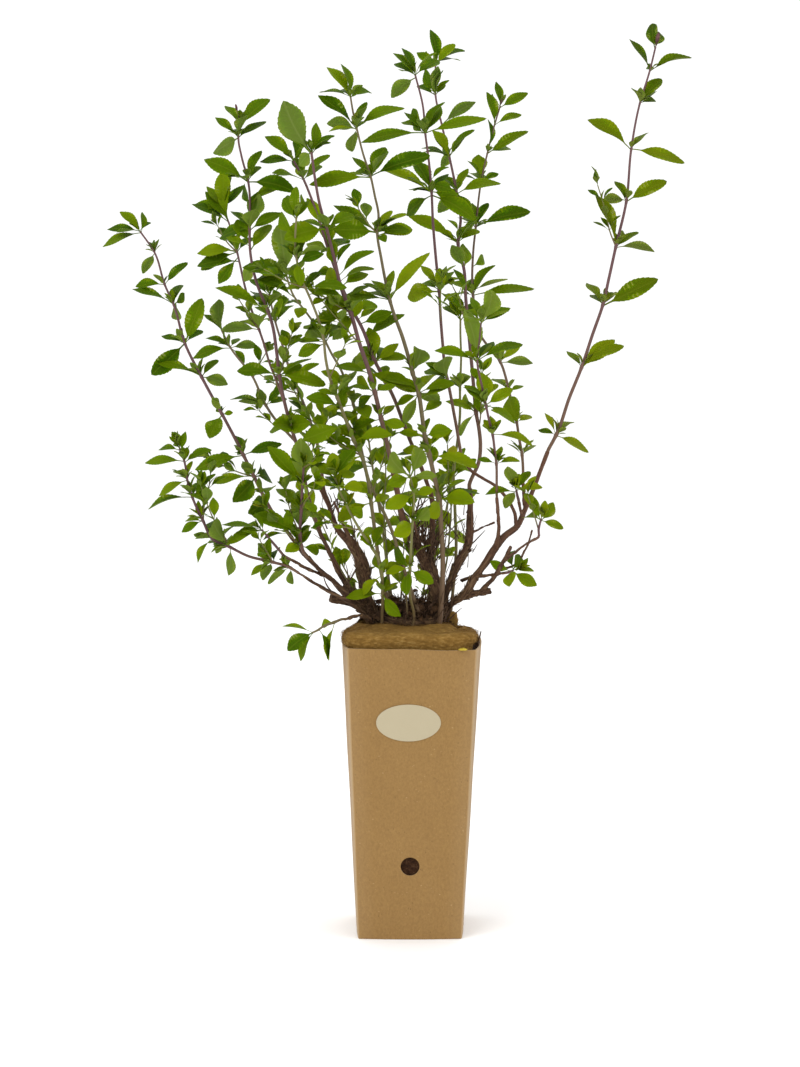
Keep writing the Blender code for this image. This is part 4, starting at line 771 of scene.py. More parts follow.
woodBranches = {
    "wood_left": {
        "trunk": [(-24, 226, 0, 13), (-29, 250, -2, 12.5), (-35, 270, -4, 11.5), (-37, 290, -6, 11),
                  (-42, 305, -7, 10), (-49, 317, -8, 8.5)],
        "fork": [(-45, 310, -7, 7), (-56, 322, -5, 6.4), (-62, 333, 0, 5.6), (-65, 345, 6, 5),
                 (-69, 356, 12, 4.3), (-70, 366, 16, 3.7)],
        "forkSlim": [(-64, 341, 4, 4), (-70, 353, 0, 3.7), (-76, 369, -6, 3.4)],
        "snag": [(-47, 314, -9, 5), (-53, 328, -12, 4), (-57, 338, -13, 3), (-61, 347, -14, 2.4)],
        "tall": [(-36, 262, -5, 6), (-50, 277, -12, 5.5), (-56, 288, -15, 5.2), (-63, 303, -18, 5),
                 (-70, 317, -21, 4.6), (-75, 330, -24, 4.3)],
        "slim": [(-33, 256, -5, 5), (-52, 275, -21, 4.4), (-68, 288, -28, 4), (-82, 302, -34, 3.8)],
        "outer": [(-31, 252, -6, 6), (-50, 270, -17, 5.5), (-67, 287, -22, 5), (-80, 299, -25, 4.8),
                  (-90, 311, -26, 4.5), (-98, 322, -27, 4.2)],
        "low": [(-30, 250, -6, 5), (-48, 265, -26, 4), (-62, 273, -34, 3.6), (-78, 282, -40, 3.3),
                (-92, 291, -44, 3.1)],
        "sprig": [(-66, 286, -22, 3.4), (-83, 293, -33, 3.2), (-92, 298, -40, 3), (-99, 302, -44, 2.8)],
        "stump": [(-33, 262, -4, 9), (-48, 266, -12, 8.5), (-64, 269, -18, 8)],
        "trailer": [(-28, 247, -6, 4), (-41, 255, -28, 3.2), (-50, 252.5, -32, 2.8)],
    },
    "wood_centre": {
        "trunk": [(16, 226, 3, 14), (19, 250, 3, 13.5), (21, 270, 3, 13), (18, 286, 2, 12),
                  (12, 300, 2, 11), (6, 309, 2, 9.5)],
        "fork": [(10, 303, 1, 9), (2, 318, -6, 8), (-6, 334, -14, 7), (-10, 354, -24, 6),
                 (-14, 372, -34, 5.2)],
        "forkBack": [(14, 297, 3, 8), (17, 312, 8, 7), (18, 328, 12, 6.2), (18, 346, 12, 5.4),
                      (12, 366, 8, 4.8), (5, 384, 2, 4.4)],
        "snagFront": [(12, 300, -1, 4), (6, 318, -14, 3), (3, 331, -22, 2.4)],
        "snagBack": [(10, 302, 5, 3.4), (3, 322, 16, 2.6), (2, 336, 22, 2.2)],
        "snagLow": [(16, 304, 5, 3.6), (10, 322, 12, 2.8), (10, 334, 18, 2.4)],
        "bowedRoot": [(-37, 264, 0, 7), (-30, 256, -5, 8.5), (-18, 251.5, -9, 9), (-4, 249.5, -12, 9.5),
                      (10, 249, -13, 9), (17, 249.5, -11, 7.6), (22, 253, -5, 6.6), (27, 261, 2, 6)],
    },
    "wood_right": {
        "trunk": [(20, 226, 10, 9), (23.5, 252, 10, 8), (29, 273, 9, 8), (37, 294, 10, 8.6),
                  (46.5, 312, 11, 8.6), (48, 330, 12, 7.6), (48, 346, 13, 6), (47.5, 358, 14, 5)],
        "limb": [(25.5, 252, 5, 6), (33, 264, -2, 6.6), (44, 272, -8, 8.2), (51, 284, -10, 8),
                 (61, 298, -10, 7.5), (68, 309, -9, 7.2), (76, 319, -7, 6.6), (86, 327, -4, 6.2),
                 (92, 340, 0, 5.6), (98, 355, 4, 5), (104, 371, 8, 4.6), (110, 387, 12, 4.2)],
        "slim": [(68, 308, -9, 5), (71, 322, -14, 4.2), (70.5, 336, -20, 3.8), (69.5, 350, -26, 3.5)],
        "tall": [(92, 339, 0, 4.5), (91, 351, 3, 4), (90.5, 362, 6, 3.8)],
        "arch": [(85, 325, -4, 4), (84, 337, -7, 3.6), (79, 347, -5, 3.5), (73, 355, -1, 3.5),
                 (66, 361, 2, 3.5), (57, 366, 4, 3.5), (49, 371.5, 5, 3.5), (43, 380, 6, 3.6)],
        "stump": [(43, 270, -6, 8), (54, 273, -9, 7.5), (65, 275, -10, 7)],
        "second": [(55, 273, -9, 5), (66, 284, -15, 4.6), (75, 299, -18, 4.2), (81, 311, -20, 3.6)],
        "twig": [(73, 296, -17.5, 3.4), (82, 304, -21, 3), (92, 312, -24, 2.8), (101, 317, -28, 2.8)],
        "level": [(41, 283, 5, 3.4), (51, 286, -9, 3.2), (65, 287.5, -13, 3.2), (77, 289.5, -16, 3)],
        "spike": [(71, 292, -16, 2.8), (84, 296, -8, 2.6), (92, 307, -4, 2.4), (98, 324, 0, 2.2)],
        "bar": [(47, 320, 11, 2.6), (60, 327, 8, 2.5), (68, 330, 5, 2.4)],
        "bud": [(90, 334, -2, 3.4), (88, 342, -12, 3), (87, 347, -17, 3)],
    },
}

# Leafy stems from their lower end up. "from" is the wood that carries one, or its foot as (x, depth).
# A point is (x, z, leaf, leaf, ...), and a leaf is (tip x, tip z, width seen, turn out of the picture's
# plane, - towards the front). A negative width shows the underside.
leafyStems = {
    "stem_right_outer": {"from": ("wood_right", "limb"), "tipDepth": 45, "thick": (4.2, 2.6), "points": [
        (113.5, 394),
        (116.6, 400, (142.7, 386, 6, .3), (107, 418, 4, 0), (131, 410, 6, .3)),
        (127, 430),
        (136.5, 454, (163, 476, 12, .2), (170.5, 471, 8, -.3), (124.5, 467, 5, .3)),
        (145, 480),
        (153, 503.5, (197, 524, 14, 0), (140, 521, 7, .4), (163.5, 514, 5, .4)),
        (158, 526),
        (163, 549.5, (146, 591, 8, 0), (194, 545, -7, .2), (181, 561, 5, .4)),
        (171, 585, (203, 601, 10, 0), (152, 585, -7, .3), (161.5, 601, 5, .3)),
        (174.5, 626, (139.5, 649, 8, 0), (217, 615, 8, 0), (188, 639, 5, .4)),
        (181, 662, (198, 681, 8.5, .2), (174, 674, 3.5, .3), (193.5, 671, 6, .3), (181.5, 674.5, 6, -.1)),
        (188.5, 687, (172, 712, 5, 0), (222, 697, 6, 0)),
        (193, 706, (190, 724, 9, .2))]},
    "stem_left_outer": {"from": ("wood_left", "outer"), "tipDepth": 60, "thick": (4.2, 2.6), "points": [
        (-108, 335),
        (-117, 351, (-130, 337, 13, -.4), (-110, 358, 6, .4)),
        (-124.5, 366.5, (-158, 361, 7, 0), (-142, 346, 13, -.5), (-111, 363, 9, .3), (-134, 379, 5, .2)),
        (-133, 384, (-172, 372, 9, 0), (-102, 393, 8, .1), (-140.5, 400, 7, .2)),
        (-141, 400),
        (-150, 417, (-160, 397, 11, -.3), (-141, 418, 4, 0)),
        (-157, 429.5),
        (-166, 446.5, (-203, 458, 7, 0), (-145, 440, -9, .2), (-152.5, 460, 5, .3)),
        (-179, 473, (-206, 448, 13, -.2), (-165, 509, 12.5, -.2), (-198, 479, 5, .3)),
        (-187.6, 503.5, (-221, 516, 6, 0), (-179, 513, 6, .2), (-190, 494, -8, .5)),
        (-194.6, 519.5, (-218, 518, 6, .2), (-176, 537, 6, 0)),
        (-202, 544, (-212, 528, -7, .2), (-203, 555, 4, .2)),
        (-214, 562, (-244, 549, 6, 0), (-240, 563, 6, .2), (-212, 577, 5, .2), (-230, 577, 6, 0))]},
    "stem_low_left": {"from": ("wood_left", "low"), "tipDepth": -70, "thick": (3.1, 2.6), "points": [
        (-96, 293.5, (-114, 280, -5, 0), (-93.5, 280, 5, .2)),
        (-110, 298, (-118, 283, 7, .2), (-104, 309, 5, .3)),
        (-130, 303),
        (-144, 310, (-157, 331, 12, -.3), (-146, 287, -7, .3)),
        (-158.5, 317, (-170, 297, 5, 0), (-156, 305, 5, .3)),
        (-165.5, 331, (-180, 331, 5, .2), (-183, 322, 6, 0)),
        (-174, 350, (-210, 340, 5, 0), (-155, 369, 6, 0)),
        (-178, 364, (-201, 351, 6, 0), (-189, 371, 5, .2)),
        (-180, 378, (-212, 377.5, 6, 0), (-158, 388, 5, 0)),
        (-184, 389, (-201, 388, 5, .2), (-179, 403, 5, 0), (-188, 403, 5, .1))]},
    "sprig_low_left": {"from": ("wood_left", "sprig"), "tipDepth": -62, "thick": (2.8, 2.6), "points": [
        (-105, 308), (-111, 315),
        (-118.5, 324, (-139, 321.5, 5, 0), (-151, 328, 4, .1), (-147, 312, 6, -.1), (-124, 338, 4, .1))]},
    "sprig_left_front": {"from": ("wood_left", "slim"), "tipDepth": -75, "thick": (3.8, 3), "points": [
        (-87, 311, (-73, 306, 7, .2), (-100, 306, 8, -.2), (-83, 327, 7, .3)),
        (-88, 320, (-88, 356, 16, -.1), (-127, 336, 11, -.3)),
        (-87, 340, (-107, 357, 9, .3)),
        (-86, 360, (-87, 398, 15, -.2), (-114, 391, 11, .2), (-70, 357, 6, .1)),
        (-85, 374, (-68, 381, 5, .3), (-92, 386, 6, .4))]},
    "stem_left_tall": {"from": ("wood_left", "tall"), "tipDepth": -55, "thick": (4.3, 2.6), "points": [
        (-79, 342),
        (-84, 362, (-106, 362, 5, .2)),
        (-88, 384),
        (-95, 407, (-110, 408, 12, -.4), (-79, 410, 13, -.3), (-112, 403, 6, .3)),
        (-99, 422),
        (-104, 447, (-138, 451, 8, 0), (-86, 456, 9, .1), (-67, 440, 10, .2), (-106, 462, 5, .3)),
        (-106, 465), (-110, 490),
        (-113, 499, (-155, 517, 8, 0), (-103, 513, 6, .3), (-126, 514, 8, .4)),
        (-122, 522), (-127, 550),
        (-127, 563, (-151, 556, 9, .3), (-101, 576, 8, .3)),
        (-128, 601, (-163, 618, 11, 0), (-90, 592, 11, -.2), (-117, 625, 6, .3)),
        (-133, 620),
        (-135.5, 635, (-154, 651, 6, 0), (-156, 623, 11, .3)),
        (-134, 646, (-146, 660, 6, .2), (-110, 665, 9, 0))],
        "side": {"at": 4, "tipDepth": 25, "points": [
            (-107, 445), (-112, 458), (-116, 472),
            (-120, 484, (-150, 483.5, -7, 0), (-134, 491, 5, .2), (-114, 497, 5, .3)),
            (-125, 497), (-131, 518),
            (-137, 545, (-169, 544, 8, 0), (-166, 531, 9, .3), (-146, 560, 5, .2)),
            (-143, 567),
            (-148, 580, (-171, 582.5, 7, .1), (-161, 597, 6, .2), (-141.5, 607, 6, 0), (-131, 598, 6, .3))]}},
    "stem_back_left": {"from": ("wood_left", "fork"), "tipDepth": 105, "thick": (3.6, 2.6), "points": [
        (-72, 380), (-74, 393),
        (-80, 412, (-66, 404, 4, .2), (-94, 420, 6, .5)),
        (-88, 433),
        (-92, 442, (-72, 457, 5, 0), (-104, 455, 6, .5)),
        (-98, 459), (-101, 470),
        (-107, 490, (-124, 502, 6, .3), (-92, 503, 6, .4)),
        (-112, 512, (-128, 524, 6, .3), (-101, 529, 6, .3), (-113, 532, 5, .3))]},
    "stem_mid_left": {"from": ("wood_left", "forkSlim"), "tipDepth": 10, "thick": (3.4, 2.6), "points": [
        (-81, 379), (-89, 392), (-98, 402), (-107, 412),
        (-115, 424, (-137, 427, -5, 0), (-122, 437, 5, .2), (-101, 439, 5, .2)),
        (-125, 446),
        (-143, 470, (-173, 461, 7, 0), (-163, 477, 5, .3), (-121, 470, -7, .2), (-132, 457, 5, .2)),
        (-150, 484, (-152, 508, 11, -.2), (-164, 496, 5, .3))]},
    "stem_front_left": {"from": (-12, -8), "tipDepth": -115, "thick": (4.6, 2.6), "points": [
        (-14, 250), (-20, 275), (-25, 300), (-28, 322),
        (-31, 345, (-58, 331, 10, -.1), (-17, 352, 7, .2)),
        (-34, 366),
        (-39, 384, (-66, 373, 13, -.2), (-57, 388, 8, .3)),
        (-45, 396, (-67, 396, 8, .1), (-57, 409, 7, .3), (-14, 400, 8, 0)),
        (-50, 409),
        (-58, 430, (-74, 436, 4, 0), (-47, 446, -6, .3)),
        (-64, 446), (-67, 460),
        (-69, 478, (-84, 487, 6, .4), (-55, 486, 6, .3)),
        (-79, 508),
        (-83, 517, (-98, 517, 6, .2), (-50, 517, 7, 0), (-74, 528, 5, .3)),
        (-86, 524),
        (-90, 540, (-84, 556, 6, .2), (-68, 548, -6, 0)),
        (-91, 552),
        (-90, 573, (-101, 584, 6, .2), (-80, 586, 6, .2), (-90, 597, 7, 0))]},
    "stem_leaning_left": {"from": (7, -13), "tipDepth": -48, "thick": (4.4, 2.6), "points": [
        (8, 250), (2, 272), (-4, 290), (-9, 306), (-14, 322), (-20, 336), (-27, 350), (-33, 364), (-37, 380),
        (-41, 399),
        (-45, 424, (-73, 412, 6, 0), (-33, 413, 9, -.3)),
        (-50, 438, (-71, 451, 6, .2)),
        (-54, 450), (-63, 466),
        (-67, 474, (-89, 463, 8, 0), (-89, 475, 6, .3), (-79, 489, 13, -.4)),
        (-72, 483), (-82, 497), (-93, 512),
        (-98, 526, (-103, 568, 16, -.2), (-116, 537, 6, .3), (-84, 538, 6, .3))]},
    "stem_purple_front": {"from": ("wood_centre", "fork"), "tipDepth": -110, "thick": (5.2, 3.4), "points": [
        (-17.6, 390),
        (-23, 413, (-46, 405, 7, .1), (-4, 407, 8, -.1), (-13, 424, 5, .2)),
        (-28, 434, (-42, 447, 8, .2), (-11, 440, 5, .1), (-41, 423, 7, .2)),
        (-33, 452), (-39.9, 472),
        (-47, 497, (-77, 490, 9, -.2), (-62, 476, 9, .3), (-68, 507, 9, .2), (-26, 503, 7, .3)),
        (-55, 518), (-60, 540),
        (-66, 563, (-100, 555, 15, -.2), (-44, 574, 8, .3)),
        (-72, 585), (-75, 602),
        (-78, 624, (-100, 664, 19, -.1), (-104, 646, 10, .4), (-74, 647, 7, .2), (-62, 637, 6, .3))]},
    "stem_purple_back": {"from": ("wood_centre", "forkBack"), "tipDepth": -52, "thick": (4.4, 3.2),
                         "points": [
        (0, 396), (-5, 409), (-13, 430), (-21, 446),
        (-28, 459, (-33, 486, 9, .1), (-9, 473, 7, 0), (-3, 462, 6, .2), (-47, 455, -8, .3)),
        (-38, 485), (-46, 500), (-55, 520),
        (-64, 545, (-48, 556, 6, .3), (-82, 552, 6, .3)),
        (-72, 570), (-79, 590),
        (-84, 602, (-69, 612, -6, .3)),
        (-92, 617, (-115, 636, 9, 0), (-119, 616, 6, .2), (-90, 634, 6, .2))]},
    "stem_centre_tall": {"from": (22, -12), "tipDepth": -32, "thick": (6.4, 2.6), "points": [
        (24, 250), (25.5, 270), (26.3, 290), (26, 310), (24.7, 330),
        (23.5, 349, (52, 346, 11, -.3), (-19, 347, -5, .1), (13, 335, -10, -.3), (56, 353, 5, .2)),
        (20, 364),
        (15.5, 384, (54, 374, 7, 0), (-6, 388, 6, .1)),
        (12, 398, (33, 404, 10, -.1), (-9, 402, 6, 0)),
        (9.5, 416),
        (7, 433, (-30, 449, 9, -.1), (36, 441, 7, 0), (21, 448, 7, .3), (-11, 424, 6, .1), (-5, 408, -8, .2),
         (23, 425, -9, .4)),
        (2, 450, (9, 468, 13, -.5)),
        (-1.5, 463), (-6, 478), (-13, 497),
        (-16, 507, (-55, 509, 8, 0), (16, 545, 9, 0), (-31, 523, 6, .3), (-13, 531, 6, .3)),
        (-19, 520), (-23, 541),
        (-26, 560, (-61, 582, 8, 0), (-61, 563, 14, -.2), (0, 562, 7, .1), (-14, 578, 5, .3)),
        (-25, 575), (-28, 590),
        (-31, 604, (-80, 598, 10, 0), (16, 621, 10, 0), (-20, 622, 5, .3), (-46, 620, 5, .3)),
        (-37, 622),
        (-42, 642, (-73, 668, 6, 0), (-66, 646, -9, .2), (-4, 658, 8, 0), (-34, 663, 5, .3),
         (-45, 624, -8, .5)),
        (-45, 655),
        (-47, 667, (-66, 690, 8, .1), (-55, 693, 6, .2), (-37, 676, -5, .2))]},
    "stem_tallest": {"from": ("wood_right", "arch"), "tipDepth": 30, "thick": (3.6, 2.6), "points": [
        (39.5, 392), (37.5, 404), (34.5, 420), (31.5, 436),
        (29.5, 445, (28, 462, 14, -.6), (12, 458, 5, 0), (19, 443, 5, .3)),
        (27.5, 456), (26, 472), (24.5, 490),
        (23, 515, (-2, 510, 13, .2), (8, 535, 6, .2), (35, 530, 6, .2)),
        (20.5, 540), (18, 570),
        (17, 592, (-21, 609, 8, 0), (38, 590, 9, 0), (3, 617, 11, .2)),
        (15, 615),
        (12, 638, (-39, 631, 8, 0), (60.5, 650, 8, 0), (28, 663, 6, .2), (-5, 655, 5, .3)),
        (10, 660),
        (4, 684, (-14, 701, 6, .1), (-15, 666, -10, .2))]},
    "stem_back_right": {"from": ("wood_right", "trunk"), "tipDepth": 108, "thick": (4.6, 2.6), "points": [
        (50, 367), (54.5, 377), (56.2, 391),
        (55, 405),
        (52.6, 418, (28, 427, 5, 0), (43, 432, 7, .3), (40, 399, -3.5, .2), (57, 420, 4, .2)),
        (51, 435), (48.6, 461), (46, 488), (44, 512), (43, 530),
        (38, 552, (55, 562, 6, .3), (22, 563, 5, .3)),
        (40, 572),
        (37, 591, (72, 599, 8, 0), (46, 611, 6, .2), (25, 605, 6, .2)),
        (31, 620, (18, 640, 6, .1), (44, 637, 6, .2)),
        (25, 645),
        (20, 668, (31, 680, 3.5, .1)),
        (20, 693, (15.5, 719.5, 8.5, 0), (35.5, 708, 6.5, .1), (5, 701.5, 7, .1))]},
    "stem_right_tall": {"from": ("wood_right", "tall"), "tipDepth": 115, "thick": (3.0, 2.3), "points": [
        (90.3, 373),
        (89.5, 384, (99, 392, 5, .4)),
        (87, 398),
        (85, 411, (97, 415, 5, .2)),
        (79, 434.5, (86, 411, 13, -.6), (66, 445, 6, .4)),
        (77, 443),
        (71.7, 458.5, (98, 457, -7, 0), (88, 472, 6, .2), (60, 468, 6, .4)),
        (62, 471), (57, 478), (54, 490),
        (50, 511, (99, 516, 7, 0), (68, 535, 7, .1), (33, 522, 6, .3)),
        (50, 545),
        (52, 565, (95.5, 577, 10, 0), (62, 584, 6, .2), (38, 572, 6, .4)),
        (56, 600, (70, 607, 5, .1)),
        (61, 623, (93.5, 640, 9, 0)),
        (66, 643),
        (71, 660, (93, 670, 7.5, 0), (67.5, 679, 6, .1))]},
    "stem_right_front": {"from": ("wood_right", "slim"), "tipDepth": -92, "thick": (2.6, 2.1), "points": [
        (69.3, 362),
        (69, 377, (54, 381, 4, 0), (88, 379, 4, 0), (73, 391, 5, .2)),
        (67.7, 387),
        (66, 400, (98, 391, 5, 0), (63.5, 416, 4, .1)),
        (63, 412),
        (60.5, 424, (43, 440, 6, 0), (82, 437, 8, 0), (84, 409, 5.6, -.1)),
        (57.4, 438.5),
        (53.5, 459, (19, 467, 7, 0), (90, 472, 6.5, 0), (43, 500, 12, -.2), (63, 473, 7, .3)),
        (55, 474),
        (56.5, 490, (80, 501, 7, .1), (65, 515, 13, -.3), (48, 510, 6, .2))]},
    "stem_green_inner": {"from": (27, 24), "tipDepth": 72, "thick": (4, 3), "points": [
        (31, 250), (35, 280), (37, 310), (36, 340),
        (35, 374, (21, 379, 4, 0), (49, 372, 5, .2), (26, 361, 9, .2)),
        (38, 396), (39.8, 416),
        (39.8, 437, (48, 447, 4, .2), (32, 447, 4, .2)),
        (40.6, 462), (40, 482),
        (40, 493, (36, 514, 9, .1), (52, 506, 7, .2), (28, 503, 6, .2))]},
    "sprig_front_left": {"from": (-23, -14), "tipDepth": -84, "thick": (3.4, 2.6), "points": [
        (-22.5, 250),
        (-22, 273, (-52, 269, 7, -.1), (-7, 254, 9, -.2)),
        (-22.5, 288, (-38, 271, 7, .1), (-7, 296, 6, .3)),
        (-24, 298),
        (-30, 309, (-23, 327, 7, .2)),
        (-40, 324),
        (-50, 342, (-38, 334, 8, .1)),
        (-57, 357, (-77, 364, 5, 0), (-50, 347, 7, .1), (-37, 358, 8, .1)),
        (-60, 366, (-80, 377, 9, .3), (-62, 386, 9, .1), (-44, 369, 7, .2))]},
    "sprig_front_centre": {"from": (-2, -17), "tipDepth": -78, "thick": (3.2, 2.6), "points": [
        (3, 250), (0, 272),
        (0, 292, (19, 281, 9, -.1), (-20, 289, 6, .1), (-2, 271, 8, -.3)),
        (1, 312),
        (2, 330, (-13, 319, 11, -.2), (15, 341, 9, -.2)),
        (3, 352, (-20, 341, 10, -.1), (19, 357, 7, .1)),
        (0, 368, (-16, 384, 13, -.3), (9, 389, 12, -.3), (-18, 360, 9, -.2), (22, 367, -6, .1))]},
    "sprig_side_right": {"from": ("wood_right", "level"), "tipDepth": -20, "thick": (3, 2.8), "points": [
        (80.5, 290.5),
        (83, 291.5, (102, 279, 9, 0), (80, 278, 8, -.3), (64, 299, 7, .1), (88, 304, 8, .2))]},
    "sprig_right_tip": {"from": ("wood_right", "twig"), "tipDepth": -40, "thick": (2.8, 2.6), "points": [
        (103, 324),
        (105, 333, (123, 325, 6, 0), (115, 346, 8, .1), (100, 350, 6, .1), (92, 334, 7, .3))]},
    "sprig_right_fork": {"from": ("wood_right", "bud"), "tipDepth": -26, "thick": (3, 2.8), "points": [
        (86, 351),
        (85, 356, (78, 375, 9, -.2), (60, 352, 6, 0), (106, 358, 6, .1), (96, 371, 6, .2),
         (76, 341, 7, .2))]},
    "sprig_hanging": {"from": ("wood_left", "trailer"), "tipDepth": -46, "thick": (2.8, 2.6), "points": [
        (-52.5, 252),
        (-61, 249.3, (-65, 217.5, 5, -.1), (-71, 247, 6.5, .1)),
        (-70.4, 245.6),
        (-74, 243, (-66.5, 219, 5, .1)),
        (-79, 240.7, (-103, 246, 2.5, 0), (-98.5, 226, 11, -.1), (-88, 217.5, 6, .1))]},
    "sprig_back_left": {"from": (-14, 22), "tipDepth": 92, "thick": (3.4, 2.6), "points": [
        (-15, 250), (-17, 275), (-19, 300),
        (-22, 325, (-2, 331, 8, .3), (-40, 316, 7, .3)),
        (-26, 350, (-46, 362, 9, .2), (-7, 361, 8, .3), (-20, 366, 7, .6)),
        (-30, 375, (-16, 393, 8, .2), (-51, 371, 8, .3), (-35, 391, 7, .6)),
        (-33, 396, (-38, 417, 8, .1), (-19, 409, 7, .2), (-50, 405, 7, .3))]},
    "sprig_back_right": {"from": (12, 27), "tipDepth": 104, "thick": (3.4, 2.6), "points": [
        (13, 250), (16, 280), (20, 302),
        (25, 321, (47, 316, 9, .3), (8, 331, 8, .3), (30, 337, 7, .6)),
        (30, 345, (54, 356, 9, .2), (12, 355, 8, .3), (28, 362, 7, .6)),
        (35, 367, (27, 388, 8, .2), (53, 381, 8, .2), (44, 390, 6, .3))]},
}

# More leaves where the bush is thick, each on the stem that shows nearest to its root, in millimetres:
# (root x, root z, tip x, tip z, width seen, turn out of the picture's plane)
strayLeaves = [
    (3, 686, -7, 705, 6, .1), (4, 687, 23, 695, 7.5, .3), (19, 669, 12, 689, 7.5, .1),
    (19, 669, 22, 691, 8, -.1), (25, 645, 52, 663, -8, .1), (11, 639, -7, 647, 5.5, .4),
    (11, 639, 2, 658, 7.5, .2), (31, 619, 17, 641, 8, .1), (31, 622, 24, 612, -7, .2),
    (17, 602, 31, 612, 4, .1), (13, 589, -3, 574, 9, .3), (17, 597, 33, 594, 8, -.2),
    (37, 592, 46, 572, 10, -.2), (37, 592, 22, 576, 10, .2), (67, 644, 60, 671, 8, 0),
    (67, 644, 88, 653, 5.5, .2), (61, 624, 61, 650, -5, .3), (57, 602, 54, 622, 11.5, .1),
    (52, 567, 49, 584, 5.5, .2), (36, 553, -2, 574, 9, .1), (41, 560, 29, 571, 3.5, .2),
    (44, 533, 33, 551, 10, -.1), (44, 533, 42, 552, 8, .3), (49, 533, 58, 542, -7.5, .2),
    (51, 515, 78, 524, 3.5, .3), (44, 512, 34, 532, 5.5, .1), (-23, 559, 2, 563, 9, .2),
    (-23, 559, -19, 553, 5.5, -.2), (6, 451, 8, 468, 10, .1), (29, 445, 13, 458, 3.5, .2),
    (14, 430, 35, 441, 5.5, 0), (11, 418, 25, 427, 7.5, .2), (59, 429, 42, 438, 4, .2),
    (79, 436, 66, 428, 4.5, .2), (82, 413, 64, 420, 5, .2), (4, 436, -24, 446, 8.5, -.1),
    (-146, 567, -173, 583, 6.5, 0), (-146, 567, -162, 593, 10, .2), (-146, 570, -141, 605, 8.5, .1),
    (-135, 581, -131, 599, 5.5, .3), (-113, 553, -137, 571, 11, .1), (-113, 569, -119, 591, 9, -.1),
    (-113, 569, -116, 595, 5.5, .4), (-110, 583, -102, 598, 6.5, .3), (-89, 573, -97, 590, 9.5, .2),
    (-89, 573, -86, 591, 4.5, .3), (-109, 558, -102, 577, 8, .2), (-101, 529, -122, 536, 11, .1),
    (-73, 566, -82, 588, 8, -.1), (-78, 625, -88, 613, -9, .1), (-129, 550, -146, 557, 5, .1),
    (-126, 547, -110, 567, 8.5, .3), (-133, 543, -152, 520, 9, -.1), (-127, 537, -132, 522, 8, .2),
    (-135, 537, -169, 534, 10, 0), (-103, 535, -133, 533, 10, .1), (-100, 537, -87, 518, 7.5, -.2),
    (-90, 510, -122, 524, 6.5, 0), (-89, 537, -87, 551, 4, .2), (-51, 534, -60, 554, 8.5, .2),
    (-62, 527, -74, 529, 5, .1), (19, 590, 52, 570, 12, -.3), (-51, 535, -61, 553, 7, 0),
    (-49, 537, -47, 552, 3.5, .2), (-42, 529, -28, 546, 5.5, .1), (-44, 526, -28, 532, 3, .3),
    (-50, 519, -33, 528, 8.5, .2), (-59, 529, -74, 529, 5.5, .2), (-53, 515, -70, 518, 5, -.1),
    (-54, 515, -64, 533, 9.5, .2), (-80, 511, -56, 512, 6, 0), (-39, 514, -31, 519, 4, .2),
    (-53, 505, -70, 508, 3, -.1), (-50, 502, -67, 498, 8, .1), (-67, 493, -72, 498, 5, .2),
    (-44, 491, -38, 507, 8.5, 0), (-38, 493, -27, 502, 5, .2), (-38, 490, -14, 498, 8.5, -.1),
    (-28, 481, -4, 496, 8, 0), (-89, 537, -86, 551, 4.5, .2), (-88, 537, -68, 544, 7.5, 0),
    (-99, 528, -88, 516, 6.5, .1), (-86, 503, -94, 508, 4, .2), (-86, 503, -89, 493, 8.5, -.2),
    (-86, 570, -100, 588, 7, .1), (-97, 516, -120, 524, 7, .1), (-88, 440, -110, 434, 7, .1),
    (-52, 425, -83, 430, 8, 0), (-60, 405, -86, 396, 13, -.1), (-60, 405, -44, 418, 9, .2),
    (-32, 448, -60, 455, 6, .1), (-24, 440, 8, 436, 9, -.1), (-28, 470, -44, 456, 10, .1)]


# Leaf shapes: closed, root at 0 and tip at 1 along Y, one unit wide, upper face towards +Z

leafLook = {"aspect": 0.38, "petioleEnd": 0.17, "petioleHalf": 0.016, "thickness": 0.011, "teeth": 10,
            "toothDepth": 0.062, "bigKinds": 12, "smallKinds": 6, "seed": 12}
# a listed leaf: how much wider it is than listed, its least length per width and besides, how far its tip
# swings out of the picture's plane, and its fullest and widest true width
seenLook = {"wider": 1.13, "leastPerWidth": 2.3, "least": 9, "swing": 14, "trueWider": 1.05, "fullest": 0.43,
            "widest": 14 * mm}
# a leaf narrower than "bigWidth" is of a small kind; a node below "tuftFrom" (mm) bears listed leaves only;
# tufts grow shorter, by "tuftYoung", over the top of the bush
foliageLook = {"bigWidth": 5.5, "listedSeed": 7, "tipDrop": 1.6 * mm,
               "farSeed": 19, "farShare": 0.26, "farLength": (20, 33), "farSlim": 0.34, "farSwing": 50,
               "extraFarShare": 0.45, "extraFarSize": 0.78,
               "tuftSeed": 53, "tuftCount": (5, 8), "tuftLength": (8.0, 17.0), "tuftFrom": 264,
               "tuftYoung": 0.35, "tuftTop": (0.50, 0.12), "tuftTipLean": (6, 30), "tuftLean": (16, 58),
               "tuftSlim": (0.36, 0.48), "fillSeed": 88, "fillLength": (16, 31), "fillSlim": (0.40, 0.50),
               "fillLean": (38, 82), "fillCount": 4}
# the share of the added leaves and shoots that the bush's outer stems, its open right side, its foot and the
# space between the trunks keep, with where each of them lies
crowdLook = {"outerFrom": 360 * mm, "outerSpan": (-140, 62), "outer": 0.04, "openFrom": -8 * mm,
             "openTop": 485 * mm, "open": 0.15, "footTop": 264 * mm, "trunksFrom": -40 * mm,
             "trunksTop": 360 * mm, "trunks": 0.4}
